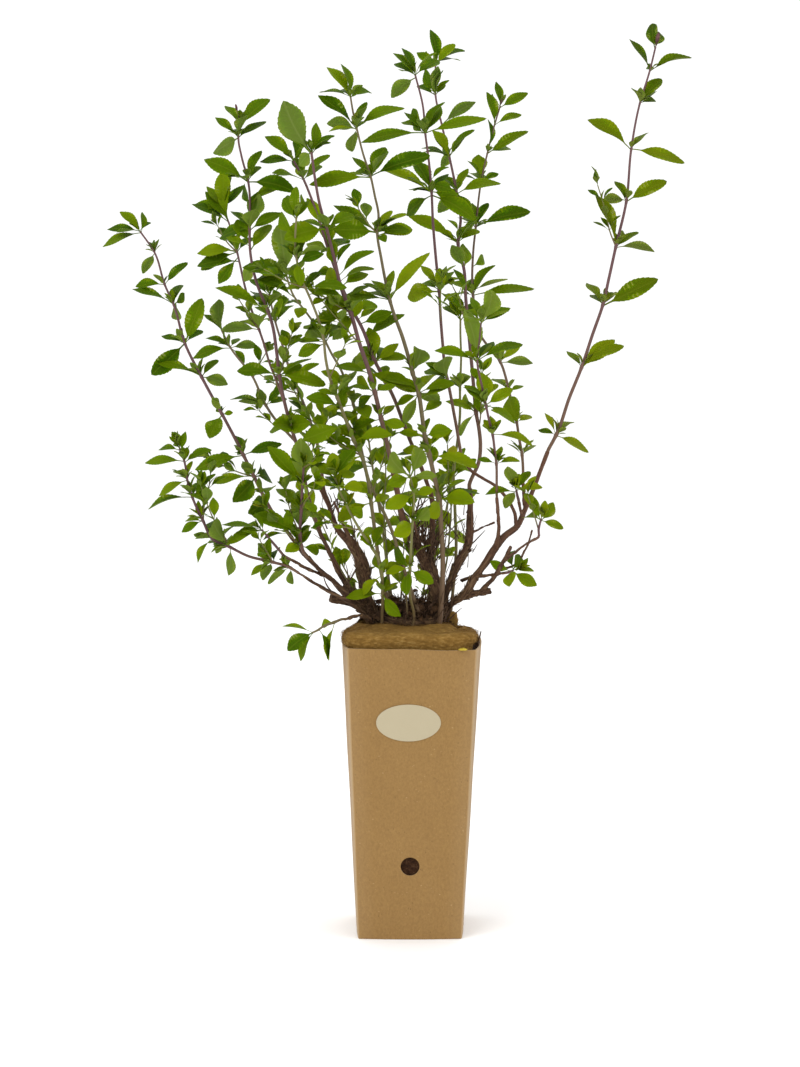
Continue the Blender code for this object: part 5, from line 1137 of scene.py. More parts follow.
# how pale a leaf is, with painted light and shade: paler low down and in the middle, where the bush's own
# shade falls, darker high up and a little darker at the left
toneLook = {"seed": 77, "stem": (0.06, 0.20), "shade": 0.31, "shadeTop": 0.66, "shadeDepth": 0.26,
            "inner": 0.15, "innerReach": 0.085, "innerTop": 0.62, "innerFade": 0.1, "left": 0.10,
            "leftSpan": (60 * mm, 120 * mm), "spread": 0.20, "most": 0.8, "yellowShare": 0.02,
            "yellowBelow": 0.43, "yellowLongest": 20 * mm}
# below each height in millimetres, the chance of each of a few more leaves at a node
fillSteps = [(300, 0.05), (400, 0.16), (470, 0.26), (540, 0.44), (600, 0.62), (700, 0.62), (760, 0.30)]
# "seenFoot" is where a stem comes out of the mat, "listedFrom" where its listed points begin
rodLook = {"step": 2.4 * mm, "slim": 0.62, "core": 0.45 * mm, "swell": 0.28, "swellReach": 1.7 * mm,
           "tipShare": 0.76, "sunk": 3.5 * mm, "beyond": 2.2 * mm, "seenFoot": 236, "listedFrom": 252}


def leafOutline(skew, blunt, s):
    # half width at this share of the blade, 1 at its widest
    return max(0.0, sin(pi * min(1.0, max(s, 0.0)) ** skew)) ** blunt


def leafShape(name, skew, blunt, fold, arch, sweep, twist, ripple, teeth):
    # rows of points up the blade: a toothed one has a quilted upper face, a young one is plain
    petiole, aspect, thick = leafLook["petioleEnd"], leafLook["aspect"], leafLook["thickness"]
    rows = [(0.0, leafLook["petioleHalf"], 0), (petiole * 0.6, leafLook["petioleHalf"], 0),
            (petiole, leafLook["petioleHalf"] * 1.2, 0)]
    if teeth:
        for k in range(teeth):
            for part, out in ((0.12, -0.4), (1.0, 0.6)):
                s = 0.04 + 0.90 * (k + part) / teeth
                tooth = out * leafLook["toothDepth"] * min(1, 4 * s)
                half = aspect / 2 * (leafOutline(skew, blunt, s) + tooth)
                rows.append((petiole + (1 - petiole) * s, half, 1 if out > 0 else -1))
    else:
        for s in (0.08, 0.22, 0.40, 0.58, 0.74, 0.88):
            rows.append((petiole + (1 - petiole) * s, aspect / 2 * leafOutline(skew, blunt, s), 0))
    columns = (-1.0, -0.52, 0.0, 0.52, 1.0) if teeth else (-1.0, 0.0, 1.0)
    last = len(columns) - 1
    shape = bmesh.new()
    under = shape.faces.layers.float.new("leafUnder")
    spots = shape.loops.layers.uv.new("leafMap")
    where = {}

    def spot(t, across, half, quilt, lower):
        # folded along the midrib, arched, rippled, twisted and swept aside
        blade = 1.0 if t > petiole + 0.01 else 0.0
        x = across * half
        z = abs(x) * fold * blade + arch * sin(pi * t ** 0.9)
        z += ripple * sin(9.0 * t + 2.0 * across) * abs(across) * blade
        z += 0.0008 * quilt * (1.0 if abs(across) == 0.52 else 0.0) * blade
        body = thick * (1.0 if t > petiole else 1.5)
        thinner = (1 - 0.55 * abs(across) * blade) * (1 if abs(across) < 1 else 0.0)
        z += (-0.5 if lower else 0.5) * body * thinner
        turn = twist * (t - 0.3) * blade
        x, z = x * cos(turn) - z * sin(turn) * 0.4, z + x * sin(turn)
        x += sweep * sin(pi * t)
        return Vector((x / aspect, t, z))

    grid = []
    for t, half, quilt in rows:
        upper = [shape.verts.new(spot(t, c, half, quilt, False)) for c in columns]
        lower = [upper[0], shape.verts.new(spot(t, 0.0, half, quilt, True)), upper[-1]]
        for c, top in zip(columns, upper):
            where[top] = (0.5 + 0.5 * c * half / (aspect / 2), t)
        where[lower[1]] = (0.5, t)
        grid.append((upper, lower))
    tip = shape.verts.new(spot(1.0, 0.0, 0.0, 0, False))
    where[tip] = (0.5, 1.0)

    def face(corners, isUnder):
        made = shape.faces.new(corners)
        made[under] = isUnder
        made.smooth = True
        for loop in made.loops:
            loop[spots].uv = where[loop.vert]

    for (upper, lower), (nextUpper, nextLower) in zip(grid, grid[1:]):
        for i in range(last):
            face((upper[i], upper[i + 1], nextUpper[i + 1], nextUpper[i]), 0.0)
        for i in range(2):
            face((lower[i + 1], lower[i], nextLower[i], nextLower[i + 1]), 1.0)
    upper, lower = grid[-1]
    for i in range(last):
        face((upper[i], upper[i + 1], tip), 0.0)
    for i in range(2):
        face((lower[i + 1], lower[i], tip), 1.0)
    upper, lower = grid[0]
    face([upper[0], lower[1]] + upper[:0:-1], 1.0)
    bmesh.ops.recalc_face_normals(shape, faces=shape.faces)
    for (upper, _), (nextUpper, _) in zip(grid[2:], grid[3:]):
        for side in (0, last):
            rim = shape.edges.get((upper[side], nextUpper[side]))
            if rim:
                rim.smooth = False
    return bpy.data.objects.new(name, meshFromShape(name, shape))


def makeLeafSet():
    # large toothed leaves and small plain ones, each a little different
    rng = random.Random(leafLook["seed"])
    leafSet = bpy.data.collections.new("leafSet")
    for kind in range(leafLook["bigKinds"] + leafLook["smallKinds"]):
        big = kind < leafLook["bigKinds"]
        skew = rng.uniform(0.92, 1.28) if big else rng.uniform(0.9, 1.15)
        blunt = rng.uniform(0.66, 0.96) if big else rng.uniform(0.66, 0.86)
        leafSet.objects.link(leafShape(
            f"leaf_{kind:02d}", skew, blunt, rng.uniform(0.12, 0.60), rng.uniform(0.050, 0.125),
            rng.uniform(-0.03, 0.03), rng.uniform(-0.5, 0.5), rng.uniform(0.006, 0.018),
            leafLook["teeth"] if big else 0))
    return leafSet


def leafTree():
    # a leaf from the set on every point, by its turn, size and kind
    tree, start, end = newTree("LeafSpray", {
        "Leaves": ("NodeSocketCollection", None), "Growth": ("NodeSocketFloat", 1.0),
        "Material": ("NodeSocketMaterial", None)})
    inputs = start.outputs
    shapes = put(tree, "GeometryNodeCollectionInfo", {
        "Collection": inputs["Leaves"], "Separate Children": True, "Reset Children": True})
    turn = put(tree, "FunctionNodeEulerToRotation", {0: namedValue(tree, "leafTurn", "FLOAT_VECTOR")})
    size = put(tree, "ShaderNodeVectorMath", {0: namedValue(tree, "leafSize", "FLOAT_VECTOR"),
                                              "Scale": inputs["Growth"]}, operation="SCALE")
    copies = put(tree, "GeometryNodeInstanceOnPoints", {
        "Points": inputs["Geometry"], "Instance": shapes, "Pick Instance": True,
        "Instance Index": namedValue(tree, "leafKind", "INT"), "Rotation": turn, "Scale": size})
    closeTree(tree, end, copies, inputs["Material"])
    return tree


def rodTree():
    # tapered rods along polylines, with a round profile or a rounded square one
    tree, start, end = newTree("Rods", {
        "Corner Points": ("NodeSocketInt", 1), "Corner Radius": ("NodeSocketFloat", 0.6),
        "Material": ("NodeSocketMaterial", None)})
    inputs = start.outputs
    lines = put(tree, "GeometryNodeMeshToCurve", {"Mesh": inputs["Geometry"]})
    square = put(tree, "GeometryNodeCurvePrimitiveQuadrilateral", {"Width": 1.86, "Height": 1.86})
    profile = put(tree, "GeometryNodeFilletCurve", {
        "Curve": square, "Count": inputs["Corner Points"], "Radius": inputs["Corner Radius"]}, mode="POLY")
    radius = put(tree, "ShaderNodeMath", {0: namedValue(tree, "thick"), 1: 0.5}, operation="MULTIPLY")
    rods = put(tree, "GeometryNodeCurveToMesh", {
        "Curve": lines, "Profile Curve": profile, "Scale": radius, "Fill Caps": True})
    smooth = put(tree, "GeometryNodeSetShadeSmooth", {"Geometry": rods, "Shade Smooth": True})
    closeTree(tree, end, smooth, inputs["Material"])
    return tree


def smoothRoute(points, step):
    # an even, smooth line through (place, thick) points, as (place, thick, share of the way)
    spots = [points[0]] + list(points) + [points[-1]]
    knots = [0.0]
    for (here, _), (there, _) in zip(points, points[1:]):
        knots.append(knots[-1] + max((there - here).length, 1e-6))
    route = []
    for i in range(len(points) - 1):
        (p0, _), (p1, w1), (p2, w2), (p3, _) = spots[i:i + 4]
        span = knots[i + 1] - knots[i]
        before = max((p1 - p0).length, 1e-6) if i else span
        after = max((p3 - p2).length, 1e-6) if i < len(points) - 2 else span
        slope1 = slope2 = (p2 - p1) / span
        if i:
            slope1 = ((p1 - p0) / before * span + (p2 - p1) / span * before) / (span + before)
        if i < len(points) - 2:
            slope2 = ((p2 - p1) / span * after + (p3 - p2) / after * span) / (span + after)
        count = max(1, round(span / step))
        for k in range(count + (i == len(points) - 2)):
            t = k / count
            a, b = (1 + 2 * t) * (1 - t) ** 2, t * (1 - t) ** 2
            c, d = t * t * (3 - 2 * t), t * t * (t - 1)
            route.append((p1 * a + slope1 * (b * span) + p2 * c + slope2 * (d * span), w1 + (w2 - w1) * t,
                          (knots[i] + span * t) / knots[-1]))
    return route


def polylines(name, routes, extra=None):
    # open lines in one mesh, each point with its diameter, its share of the way and any further values
    points, edges, thick, share, more = [], [], [], [], []
    for index, route in enumerate(routes):
        first = len(points)
        for place3, width, along in route:
            points.append(place3)
            thick.append(width)
            share.append(along)
            more.append(extra[index] if extra else 0.0)
        edges += [(i, i + 1) for i in range(first, len(points) - 1)]
    mesh = bpy.data.meshes.new(name)
    mesh.from_pydata(points, edges, [])
    for label, values in (("thick", thick), ("share", share), ("purple", more)):
        setValues(mesh, label, "FLOAT", values)
    return addObject(name, mesh)


def makeRods(name, routes, finish, corners, extra=None):
    # rods along the routes, as one plain mesh
    rods = polylines(name, routes, extra)
    runTree(rods, rodGroup, {"Material": finish, **corners})
    return applyModifiers(rods)


def placed(branch):
    return [(seenAt(x, z, depth), width * mm) for x, z, depth, width in branch]


# Where stems and leaves go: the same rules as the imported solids, without their gaps.
# A leaf is (root, tip, its upper face's normal, width).

def spoke(axis, angle):
    # the direction square to an axis at this angle round it
    return Matrix.Rotation(angle, 3, axis) @ axis.orthogonal().normalized()


def leaned(axis, out, lean):
    return axis * cos(lean) + out * sin(lean)


def withinSpan(value, span):
    # whether a length lies between two in millimetres
    return span[0] * mm < value < span[1] * mm


def squared(vector, way):
    # the part of a vector that is square to a direction
    return (vector - way * vector.dot(way)).normalized()


def compass(angle, climb):
    return Vector((cos(angle), sin(angle), climb)).normalized()


def bent(way, rng, aside, low, high):
    # a direction turned a little at random
    drift = Vector((rng.uniform(-aside, aside), rng.uniform(-aside, aside), rng.uniform(low, high)))
    return (way + drift).normalized()


def stemRoute(stem):
    # a stem's (place, thick) points from inside its wood or the mat, and how many come before the listed ones
    listed = [(point[0], point[1]) for point in stem["points"]]
    thickLow, thickHigh = stem["thick"]
    top = listed[-1][1]
    if isinstance(stem["from"][0], str):
        below, end = woodBranches[stem["from"][0]][stem["from"][1]][-2:]
        endPlace = seenAt(*end[:3])
        way = (endPlace - seenAt(*below[:3])).normalized()
        route = [(endPlace - way * rodLook["sunk"], thickLow * mm),
                 (endPlace + way * rodLook["beyond"], thickLow * mm)]
        low, lowDepth = end[1], end[2]
    else:
        footX, lowDepth = stem["from"]
        route = [(seenAt(footX, rodLook["seenFoot"], lowDepth), thickLow * mm)]
        low = rodLook["listedFrom"]
        end = (footX, low)
    offset = len(route)
    full = abs(top - low) + abs(listed[-1][0] - end[0])
    for x, z in listed:
        share = min(1.0, (abs(z - low) + abs(x - end[0])) / full) if z > low or top < low else 0.0
        depth = lowDepth + (stem["tipDepth"] - lowDepth) * share
        route.append((seenAt(x, z, depth), (thickLow + (thickHigh - thickLow) * share) * mm))
    return route, offset


def sideRoute(route, offset, side, thick):
    # a side stem's points, from the point of the main stem that carries it
    start = route[offset + side["at"]][0]
    startDepth = start.y / mm
    low, top = start.z / mm, side["points"][-1][1]
    points = [(start, thick * mm)]
    for x, z in ((point[0], point[1]) for point in side["points"]):
        share = max(0.0, min(1.0, (z - low) / (top - low)))
        points.append((seenAt(x, z, startDepth + (side["tipDepth"] - startDepth) * share), thick * mm))
    return points


def leafFrame(root, tip, seenWidth, trueWidth):
    # the blade's normal, rolled so that it shows the width seen from the front
    way = (tip - root).normalized()
    sight = ((root + tip) / 2 - cameraEye).normalized()
    across = sight.cross(way)
    across = across.normalized() if across.length > 0.05 else Vector((1, 0, 0))
    alongSight = way.cross(across)
    roll = min(1.0, abs(seenWidth) / trueWidth)
    flat = sqrt(1 - roll * roll)
    best = None
    for sign in (1, -1):
        side = across * roll * sign + alongSight * flat
        normal = way.cross(side)
        if normal.z < 0 and abs(normal.z) > 0.08:
            normal = -normal
        facesEye = -normal.dot(sight)
        score = facesEye if seenWidth > 0 else -facesEye
        if best is None or score > best[0]:
            best = (score, normal)
    return best[1]


def nodesOf(route, offset, points):
    # each listed point with its place, the way the stem runs there and whether it is the last
    for index, point in enumerate(points):
        place3, below = route[offset + index][0], route[offset + index - 1][0]
        yield point, place3, (place3 - below).normalized(), index == len(points) - 1


def listedLeaves(route, offset, points, rng):
    # the leaves of a stem's table, the last ones a little below its end
    leaves = []
    for index, point in enumerate(points):
        place3, below = route[offset + index][0], route[offset + index - 1][0]
        if index == len(points) - 1:
            place3 = place3 - (place3 - below).normalized() * foliageLook["tipDrop"]
        # measured again, because the drop may reach past the point below
        upward = (place3 - below).normalized()
        leaves += [seenLeaf(place3 + upward * rng.uniform(-1, 1) * mm, *leaf) for leaf in point[2:]]
    return leaves


def seenLeaf(root, tipX, tipZ, seenWidth, turn):
    # a leaf whose tip and width are known as they show from the front
    apparent = (seenAt(tipX, tipZ, root.y / mm) - root).length
    seen = seenLook["wider"] * abs(seenWidth) * mm
    length = max(apparent, (seenLook["leastPerWidth"] * abs(seenWidth) + seenLook["least"]) * mm)
    away = copysign(sqrt(length ** 2 - apparent ** 2), turn) * min(1, abs(turn) * 3)
    tip = seenAt(tipX, tipZ, (root.y + away) / mm + turn * seenLook["swing"])
    fullest = min(seenLook["fullest"] * (tip - root).length, seenLook["widest"])
    trueWidth = max(seenLook["trueWider"] * seen, fullest)
    return root, tip, leafFrame(root, tip, copysign(seen, seenWidth), trueWidth), trueWidth


def seenFrom(point):
    # where a point shows on the upright plane through the pot's middle
    spread = (point.y - cameraEye.y) / -cameraEye.y
    return Vector((cameraEye.x + (point.x - cameraEye.x) / spread,
                   cameraEye.z + (point.z - cameraEye.z) / spread))


def hostStrays():
    # gives each stray leaf to the stem that shows nearest to its root
    hosted = {name: [] for name in plans}
    line = [(seenFrom(spot), spot, name) for name, plan in plans.items() for route, _, _ in plan
            for spot, _, _ in smoothRoute(route, 2 * mm)]
    for x, z, *leaf in strayLeaves:
        wanted = Vector((x, z)) * mm
        _, spot, name = min(line, key=lambda entry: (entry[0] - wanted).length)
        hosted[name].append(seenLeaf(spot, *leaf))
    return hosted


def farLeaves(route, offset, points, rng):
    # the listed share of the nodes has a leaf that points back, and some more have one besides
    leaves = []
    for point, root, _, _ in nodesOf(route, offset, points):
        chance, swing = rng.random(), rng.uniform(-foliageLook["farSwing"], foliageLook["farSwing"])
        reach, climb = rng.uniform(*foliageLook["farLength"]), rng.random()
        bare = len(point) < 3 or point[1] < foliageLook["tuftFrom"]
        if bare or chance > foliageLook["farShare"] + foliageLook["extraFarShare"]:
            continue
        arm = compass(radians(90 + swing), 0.1 + 0.6 * climb) * reach * mm
        if chance > foliageLook["farShare"]:
            arm *= foliageLook["extraFarSize"]
        width = foliageLook["farSlim"] * arm.length
        leaves.append((root, root + arm, leafFrame(root, root + arm, 0.74 * width, width), width))
    return leaves


skyWay = Vector((0, -0.3, 1.0))  # leaves turn their upper face up and a little to the front


def tuftLeaves(route, offset, points, rng):
    # small young leaves crowd each node and hug the stem above it
    leaves = []
    for point, place3, upward, last in nodesOf(route, offset, points):
        if len(point) < 3 or point[1] < foliageLook["tuftFrom"]:
            continue
        topFrom, topDepth = foliageLook["tuftTop"]
        young = 1 - foliageLook["tuftYoung"] * min(1.0, max(0.0, (place3.z - topFrom) / topDepth))
        first = rng.uniform(0, pi)
        for k in range(rng.randint(*foliageLook["tuftCount"]) + (2 if last else 0)):
            angle = first + pi * (k % 2) + rng.uniform(-0.7, 0.7)
            lean = radians(rng.uniform(*foliageLook["tuftTipLean" if last else "tuftLean"]))
            way = leaned(upward, spoke(upward, angle), lean)
            length = rng.uniform(*foliageLook["tuftLength"]) * young * mm
            root = place3 + upward * rng.uniform(-0.6, 1.4) * mm
            width = length * rng.uniform(*foliageLook["tuftSlim"])
            leaves.append((root, root + way * length, squared(upward, way), width))
    return leaves


def fillLeaves(route, offset, points, rng):
    # middling leaves all round a stem, most where the bush is thickest
    leaves = []
    for point, root, upward, _ in nodesOf(route, offset, points):
        share = next(share for limit, share in fillSteps if root.z < limit * mm)
        share *= crowd(root)
        for _ in range(foliageLook["fillCount"]):
            draw, heading = rng.random(), rng.uniform(0, tau)
            lean = radians(rng.uniform(*foliageLook["fillLean"]))
            length, slim = rng.uniform(*foliageLook["fillLength"]) * mm, rng.uniform(*foliageLook["fillSlim"])
            way = leaned(upward, spoke(upward, heading), lean)
            leaf = (root, root + way * length, squared(skyWay, way), slim * length)
            if draw < share and len(point) > 2 and staysInside([leaf]):
                leaves.append(leaf)
    return leaves


def crowd(spot):
    # the share of the added leaves and shoots that this part of the bush keeps
    look = crowdLook
    if spot.z > look["outerFrom"] and not withinSpan(spot.x, look["outerSpan"]):
        return look["outer"]
    if spot.x > look["openFrom"] and spot.z < look["openTop"]:
        return look["open"]
    if spot.z < look["footTop"]:
        return 0.0
    return look["trunks"] if spot.x > look["trunksFrom"] and spot.z < look["trunksTop"] else 1.0


def staysInside(leaves):
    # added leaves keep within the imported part's box
    low, high = cadBounds
    return all(low[axis] < tip[axis] < high[axis] for _, tip, _, _ in leaves for axis in range(3))


# Young shoots in the axils: below each height in millimetres, the chance that a node bears one, and the most
shootSteps = [(262, 0.0, 0), (300, 0.20, 1), (450, 0.30, 2), (560, 0.20, 1), (760, 0.0, 1)]
shootLook = {"seed": 29, "length": (14, 46), "gap": (10, 16), "leaf": (13, 24), "thick": (1.3, 0.9),
             "bare": 0.0, "climb": 0.14, "step": 3.2 * mm}
# lean in degrees, less by "upright" and shorter by "shorter" at the tip; the young leaves among the pairs
pairLook = {"lean": (42, 74), "upright": 24, "shorter": 0.22, "youngLean": (12, 40), "youngLength": (8, 15),
            "slim": (0.40, 0.52), "drift": 0.10}
basalLook = {"seed": 61, "count": 9, "length": (66, 150), "gap": (14, 23), "leaf": (13, 25),
             "thick": (1.9, 1.0), "bare": 0.3, "climb": 0.03, "reach": 0.9, "foot": 246 * mm, "tone": 0.42,
             "purple": 0.1}


def growShoot(root, way, length, look, rng):
    # a young shoot's line and its leaves, in opposite pairs that turn a quarter at each node
    thickLow, thickHigh = look["thick"]
    points, leaves = [(root, thickLow * mm)], []
    turn, grown = rng.uniform(0, pi), 0.0
    while grown < length:
        gap = rng.uniform(*look["gap"])
        grown += gap
        share = min(1.0, grown / length)
        drift = [rng.gauss(0, pairLook["drift"]) for _ in range(2)]
        way = (way + Vector((*drift, look["climb"]))).normalized()
        node = points[-1][0] + way * gap * mm
        points.append((node, (thickLow + (thickHigh - thickLow) * share) * mm))
        turn += pi / 2
        if share < look["bare"]:
            continue
        square = spoke(way, turn)
        # an opposite pair, and young leaves among it
        pairs = [(rng.uniform(*pairLook["lean"]) - pairLook["upright"] * share,
                  rng.uniform(*look["leaf"]) * (1 - pairLook["shorter"] * share)) for _ in range(2)]
        pairs += [(rng.uniform(*pairLook["youngLean"]), rng.uniform(*pairLook["youngLength"]))
                  for _ in range(3 if share == 1.0 else 1)]
        for index, (lean, long) in enumerate(pairs):
            out = Matrix.Rotation(0.5 * rng.gauss(0, 1) * (index > 1), 3, way) @ square * (-1) ** index
            leafWay = leaned(way, out, radians(lean))
            normal = squared(skyWay if index < 2 else way, leafWay)
            width = long * rng.uniform(*pairLook["slim"]) * mm
            leaves.append((node, node + leafWay * long * mm, normal, width))
    return points, leaves


def stemShoots(plan, rng):
    # young shoots at a stem's nodes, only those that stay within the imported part's box
    shoots = []
    for route, offset, points in plan:
        for point, root, upward, _ in nodesOf(route, offset, points):
            _, chance, most = next(step for step in shootSteps if root.z < step[0] * mm)
            if len(point) < 3:
                chance *= 0.6
            chance *= crowd(root)
            for _ in range(most):
                draw, heading = rng.random(), rng.uniform(0, tau)
                lean, length = radians(rng.uniform(22, 62)), rng.uniform(*shootLook["length"])
                shoot = growShoot(root, leaned(upward, spoke(upward, heading), lean), length, shootLook, rng)
                if draw < chance and staysInside(shoot[1]):
                    shoots.append(shoot)
    return shoots


# How purple each stem's bark is, 1 unless given here
stemTints = {"stem_green_inner": 0.05, "stem_front_left": 0.35, "stem_leaning_left": 0.4,
             "stem_centre_tall": 0.55, "sprig_front_left": 0.15, "sprig_front_centre": 0.1,
             "sprig_hanging": 0.5, "stem_mid_left": 0.6, "stem_back_left": 0.7, "stem_right_tall": 0.75,
             "sprig_back_left": 0.3, "sprig_back_right": 0.3}
shootTint = 0.12
leafSet = makeLeafSet()
leafGroup = leafTree()
rodGroup = rodTree()


def addLeaves(spray, leaves, tone, rng):
    # adds each leaf's place, turn, size, shape and tone to the points of a spray
    look, big = toneLook, leafLook["bigKinds"]
    for root, tip, normal, width in leaves:
        way = (tip - root).normalized()
        normal = squared(normal, way)
        across = way.cross(normal)
        length = (tip - root).length
        # painted light: leaves low down and in the middle are painted paler, as if more light reached them
        paintedLightLow = min(1.0, max(0.0, (look["shadeTop"] - root.z) / look["shadeDepth"]))
        inner = exp(-(root.x / look["innerReach"]) ** 2)
        inner *= min(1.0, max(0.0, (look["innerTop"] - root.z) / look["innerFade"]))
        spray["points"].append(root)
        spray["turns"] += Matrix((across, way, normal)).transposed().to_euler()[:]
        spray["sizes"] += (width, length, length)
        small = width < foliageLook["bigWidth"] * mm
        kinds = (big, big + leafLook["smallKinds"]) if small else (0, big)
        spray["kinds"].append(rng.randrange(*kinds))
        yellow = rng.random() < look["yellowShare"] and root.z < look["yellowBelow"] \
            and length < look["yellowLongest"]
        # painted light and shade, added to each leaf's own random tone
        tint = tone + look["shade"] * paintedLightLow + look["inner"] * inner
        tint += -look["left"] * ramped(-root.x, *look["leftSpan"]) + rng.gauss(0, look["spread"])
        spray["tones"].append(1.0 if yellow else min(look["most"], max(0.0, tint)))


def leafCopies(name, spray, finish):
    # the leaves of a spray as one plain mesh
    mesh = bpy.data.meshes.new(name)
    mesh.from_pydata(spray["points"], [], [])
    for label, kind, key in (("leafTurn", "FLOAT_VECTOR", "turns"), ("leafSize", "FLOAT_VECTOR", "sizes"),
                             ("leafKind", "INT", "kinds"), ("leafTone", "FLOAT", "tones")):
        if key in spray:
            setValues(mesh, label, kind, spray[key])
    made = addObject(name, mesh)
    runTree(made, leafGroup, {"Leaves": leafSet, "Material": finish})
    applyModifiers(made)
    for label in ("leafTurn", "leafSize", "leafKind"):
        made.data.attributes.remove(made.data.attributes[label])
    return made


def makeSpray(name, plan, shoots, strays, nodeTone, rng, randoms):
    # a stem's listed, far, young and middling leaves, then those of its shoots and the strays
    spray = {"points": [], "turns": [], "sizes": [], "kinds": [], "tones": []}
    for route, offset, points in plan:
        for leavesOf, stream, paler in zip((listedLeaves, farLeaves, tuftLeaves, fillLeaves), randoms,
                                           (0.0, -0.1, 0.08, 0.0)):
            addLeaves(spray, leavesOf(route, offset, points, stream), nodeTone + paler, rng)
    for _, leaves in shoots:
        addLeaves(spray, leaves, nodeTone + rng.uniform(-0.15, 0.2), rng)
    addLeaves(spray, strays, nodeTone, rng)
    return leafCopies(name, spray, leafFinish)


def rodWidth(thick):
    # thin stems keep more of their listed thickness than thick ones
    return rodLook["slim"] * thick + rodLook["core"]


def makeStem(name, plan, shoots, tint):
    # square stems that swell at each node with leaves and taper to their tip, with their shoots
    routes = []
    for route, offset, points in plan:
        knots = [route[offset + i][0] for i, point in enumerate(points) if len(point) > 2]
        last = rodWidth(route[-1][1]) * rodLook["tipShare"]
        dense = []
        for place3, width, along in smoothRoute(route, rodLook["step"]):
            nearest = min((place3 - knot).length for knot in knots)
            swell = rodLook["swell"] * exp(-(nearest / rodLook["swellReach"]) ** 2)
            width = rodWidth(width) * (1 + swell)
            taper = max(0.0, (along - 0.55) / 0.45)
            dense.append((place3, width * (1 - taper) + last * taper, along))
        routes.append(dense)
    tints = [tint] * len(routes) + [shootTint] * len(shoots)
    routes += [smoothRoute(points, shootLook["step"]) for points, _ in shoots]
    return makeRods(name, routes, stemFinish, {}, tints)


def planStem(stem):
    # the stem, and its side stem if it has one, as (route, where its listed points begin, those points)
    route, offset = stemRoute(stem)
    plan = [(route, offset, stem["points"])]
    if "side" in stem:
        plan.append((sideRoute(route, offset, stem["side"], stem["thick"][1]), 1, stem["side"]["points"]))
    return plan


plans = {name: planStem(stem) for name, stem in leafyStems.items()}
randoms = [random.Random(foliageLook[key]) for key in ("listedSeed", "farSeed", "tuftSeed", "fillSeed")]
toneRandom, shootRandom = random.Random(toneLook["seed"]), random.Random(shootLook["seed"])
hosted = hostStrays()
faceCount = 0
for name, plan in plans.items():
    shoots = stemShoots(plan, shootRandom)
    nodeTone = toneRandom.uniform(*toneLook["stem"])
    leaves = makeSpray(f"leaves_{name}", plan, shoots, hosted[name], nodeTone, toneRandom, randoms)
    rods = makeStem(f"rods_{name}", plan, shoots, stemTints.get(name, 1.0))
    finishPiece(leaves, "leafy_stem", name)
    finishPiece(rods, "leafy_stem", name)
    faceCount += len(leaves.data.polygons) + len(rods.data.polygons)
print("leafy stems made:", faceCount, "faces")


def makeBasalShoots():
    # thin green shoots that rise from the crown between the stems
    rng = random.Random(basalLook["seed"])
    shoots = []
    while len(shoots) < basalLook["count"]:
        angle, share = rng.uniform(0, tau), sqrt(rng.random())
        root = openingPoint(basalLook["reach"] * share, angle, basalLook["foot"])
        aside, forth = root.x * 13 - 0.10 + rng.gauss(0, 0.15), root.y * 11 + rng.gauss(0, 0.15)
        way = Vector((aside, forth, 1)).normalized()
        shoot = growShoot(root, way, rng.uniform(*basalLook["length"]), basalLook, rng)
        if staysInside(shoot[1]):
            shoots.append(shoot)
    leaves = makeSpray("basal_leaves", [], shoots, [], basalLook["tone"], rng, randoms)
    finishPiece(leaves, "leafy_stem")
    finishPiece(makeStem("basal_stems", [], shoots, basalLook["purple"]), "leafy_stem")


makeBasalShoots()
print("basal shoots made")


# Woody trunks and limbs, joined and barked.
# A branch that starts below "rootBelow" (mm) is rooted; a rod thicker than "trunkFrom" keeps its thickness
# furrows and grain: how deep, how dense across a limb and along it; they fade above "smoothFrom"
woodLook = {"step": 3.0 * mm, "voxel": 0.75 * mm, "knot": 0.22, "knotScale": 90, "limbShare": 0.84,
            "trunkFrom": 9 * mm, "rootBelow": 231, "furrow": (0.9 * mm, 420, 70),
            "grain": (0.4 * mm, 1100, 260), "smoothFrom": 0.40, "smoothDepth": 0.12, "leastRelief": 0.15,
            "drift": Vector((0.6, 0.5, 0.62)), "patternDrift": 0.16}
flakeLook = {"density": 62000.0, "length": 7.5 * mm, "width": 1.0 * mm, "thickness": 0.22 * mm, "lift": 0.16,
             "seed": 5, "highest": 0.325, "widest": 0.047,
             "profile": ((0.0, 0.25, -0.03), (0.25, 0.9, 0.0), (0.6, 1.0, 0.015), (0.85, 0.6, 0.0),
                         (1.0, 0.15, 0.03))}


def makeTrunk(name, branches):
    # knobbly rods along the branches, melted into one body with bark on it
    routes = []
    for index, branch in enumerate(branches.values()):
        points = placed(branch)
        if branch[0][1] < woodLook["rootBelow"]:
            points[0] = (seenAt(branch[0][0], rodLook["seenFoot"], branch[0][2]), points[0][1])
        dense = []
        for place3, width, along in smoothRoute(points, woodLook["step"]):
            bulge = noise.noise(Vector((place3.z * woodLook["knotScale"], index * 7.3, 1.7)))
            knobbly = 1 + woodLook["knot"] * bulge
            slim = 1.0 if width > woodLook["trunkFrom"] else woodLook["limbShare"]
            dense.append((place3, width * knobbly * slim, along))
        routes.append(dense)
    trunk = makeRods(f"bark_{name}", routes, barkFinish, {"Corner Points": 4, "Corner Radius": 0.93})
    joined = trunk.modifiers.new("joined", "REMESH")
    joined.mode = "VOXEL"
    joined.voxel_size = woodLook["voxel"]
    joined.use_smooth_shade = True
    applyModifiers(trunk)
    barkRelief(trunk, routes)
    trunk.data.materials.clear()
    trunk.data.materials.append(barkFinish)
    finishPiece(trunk, "old_wood", name)


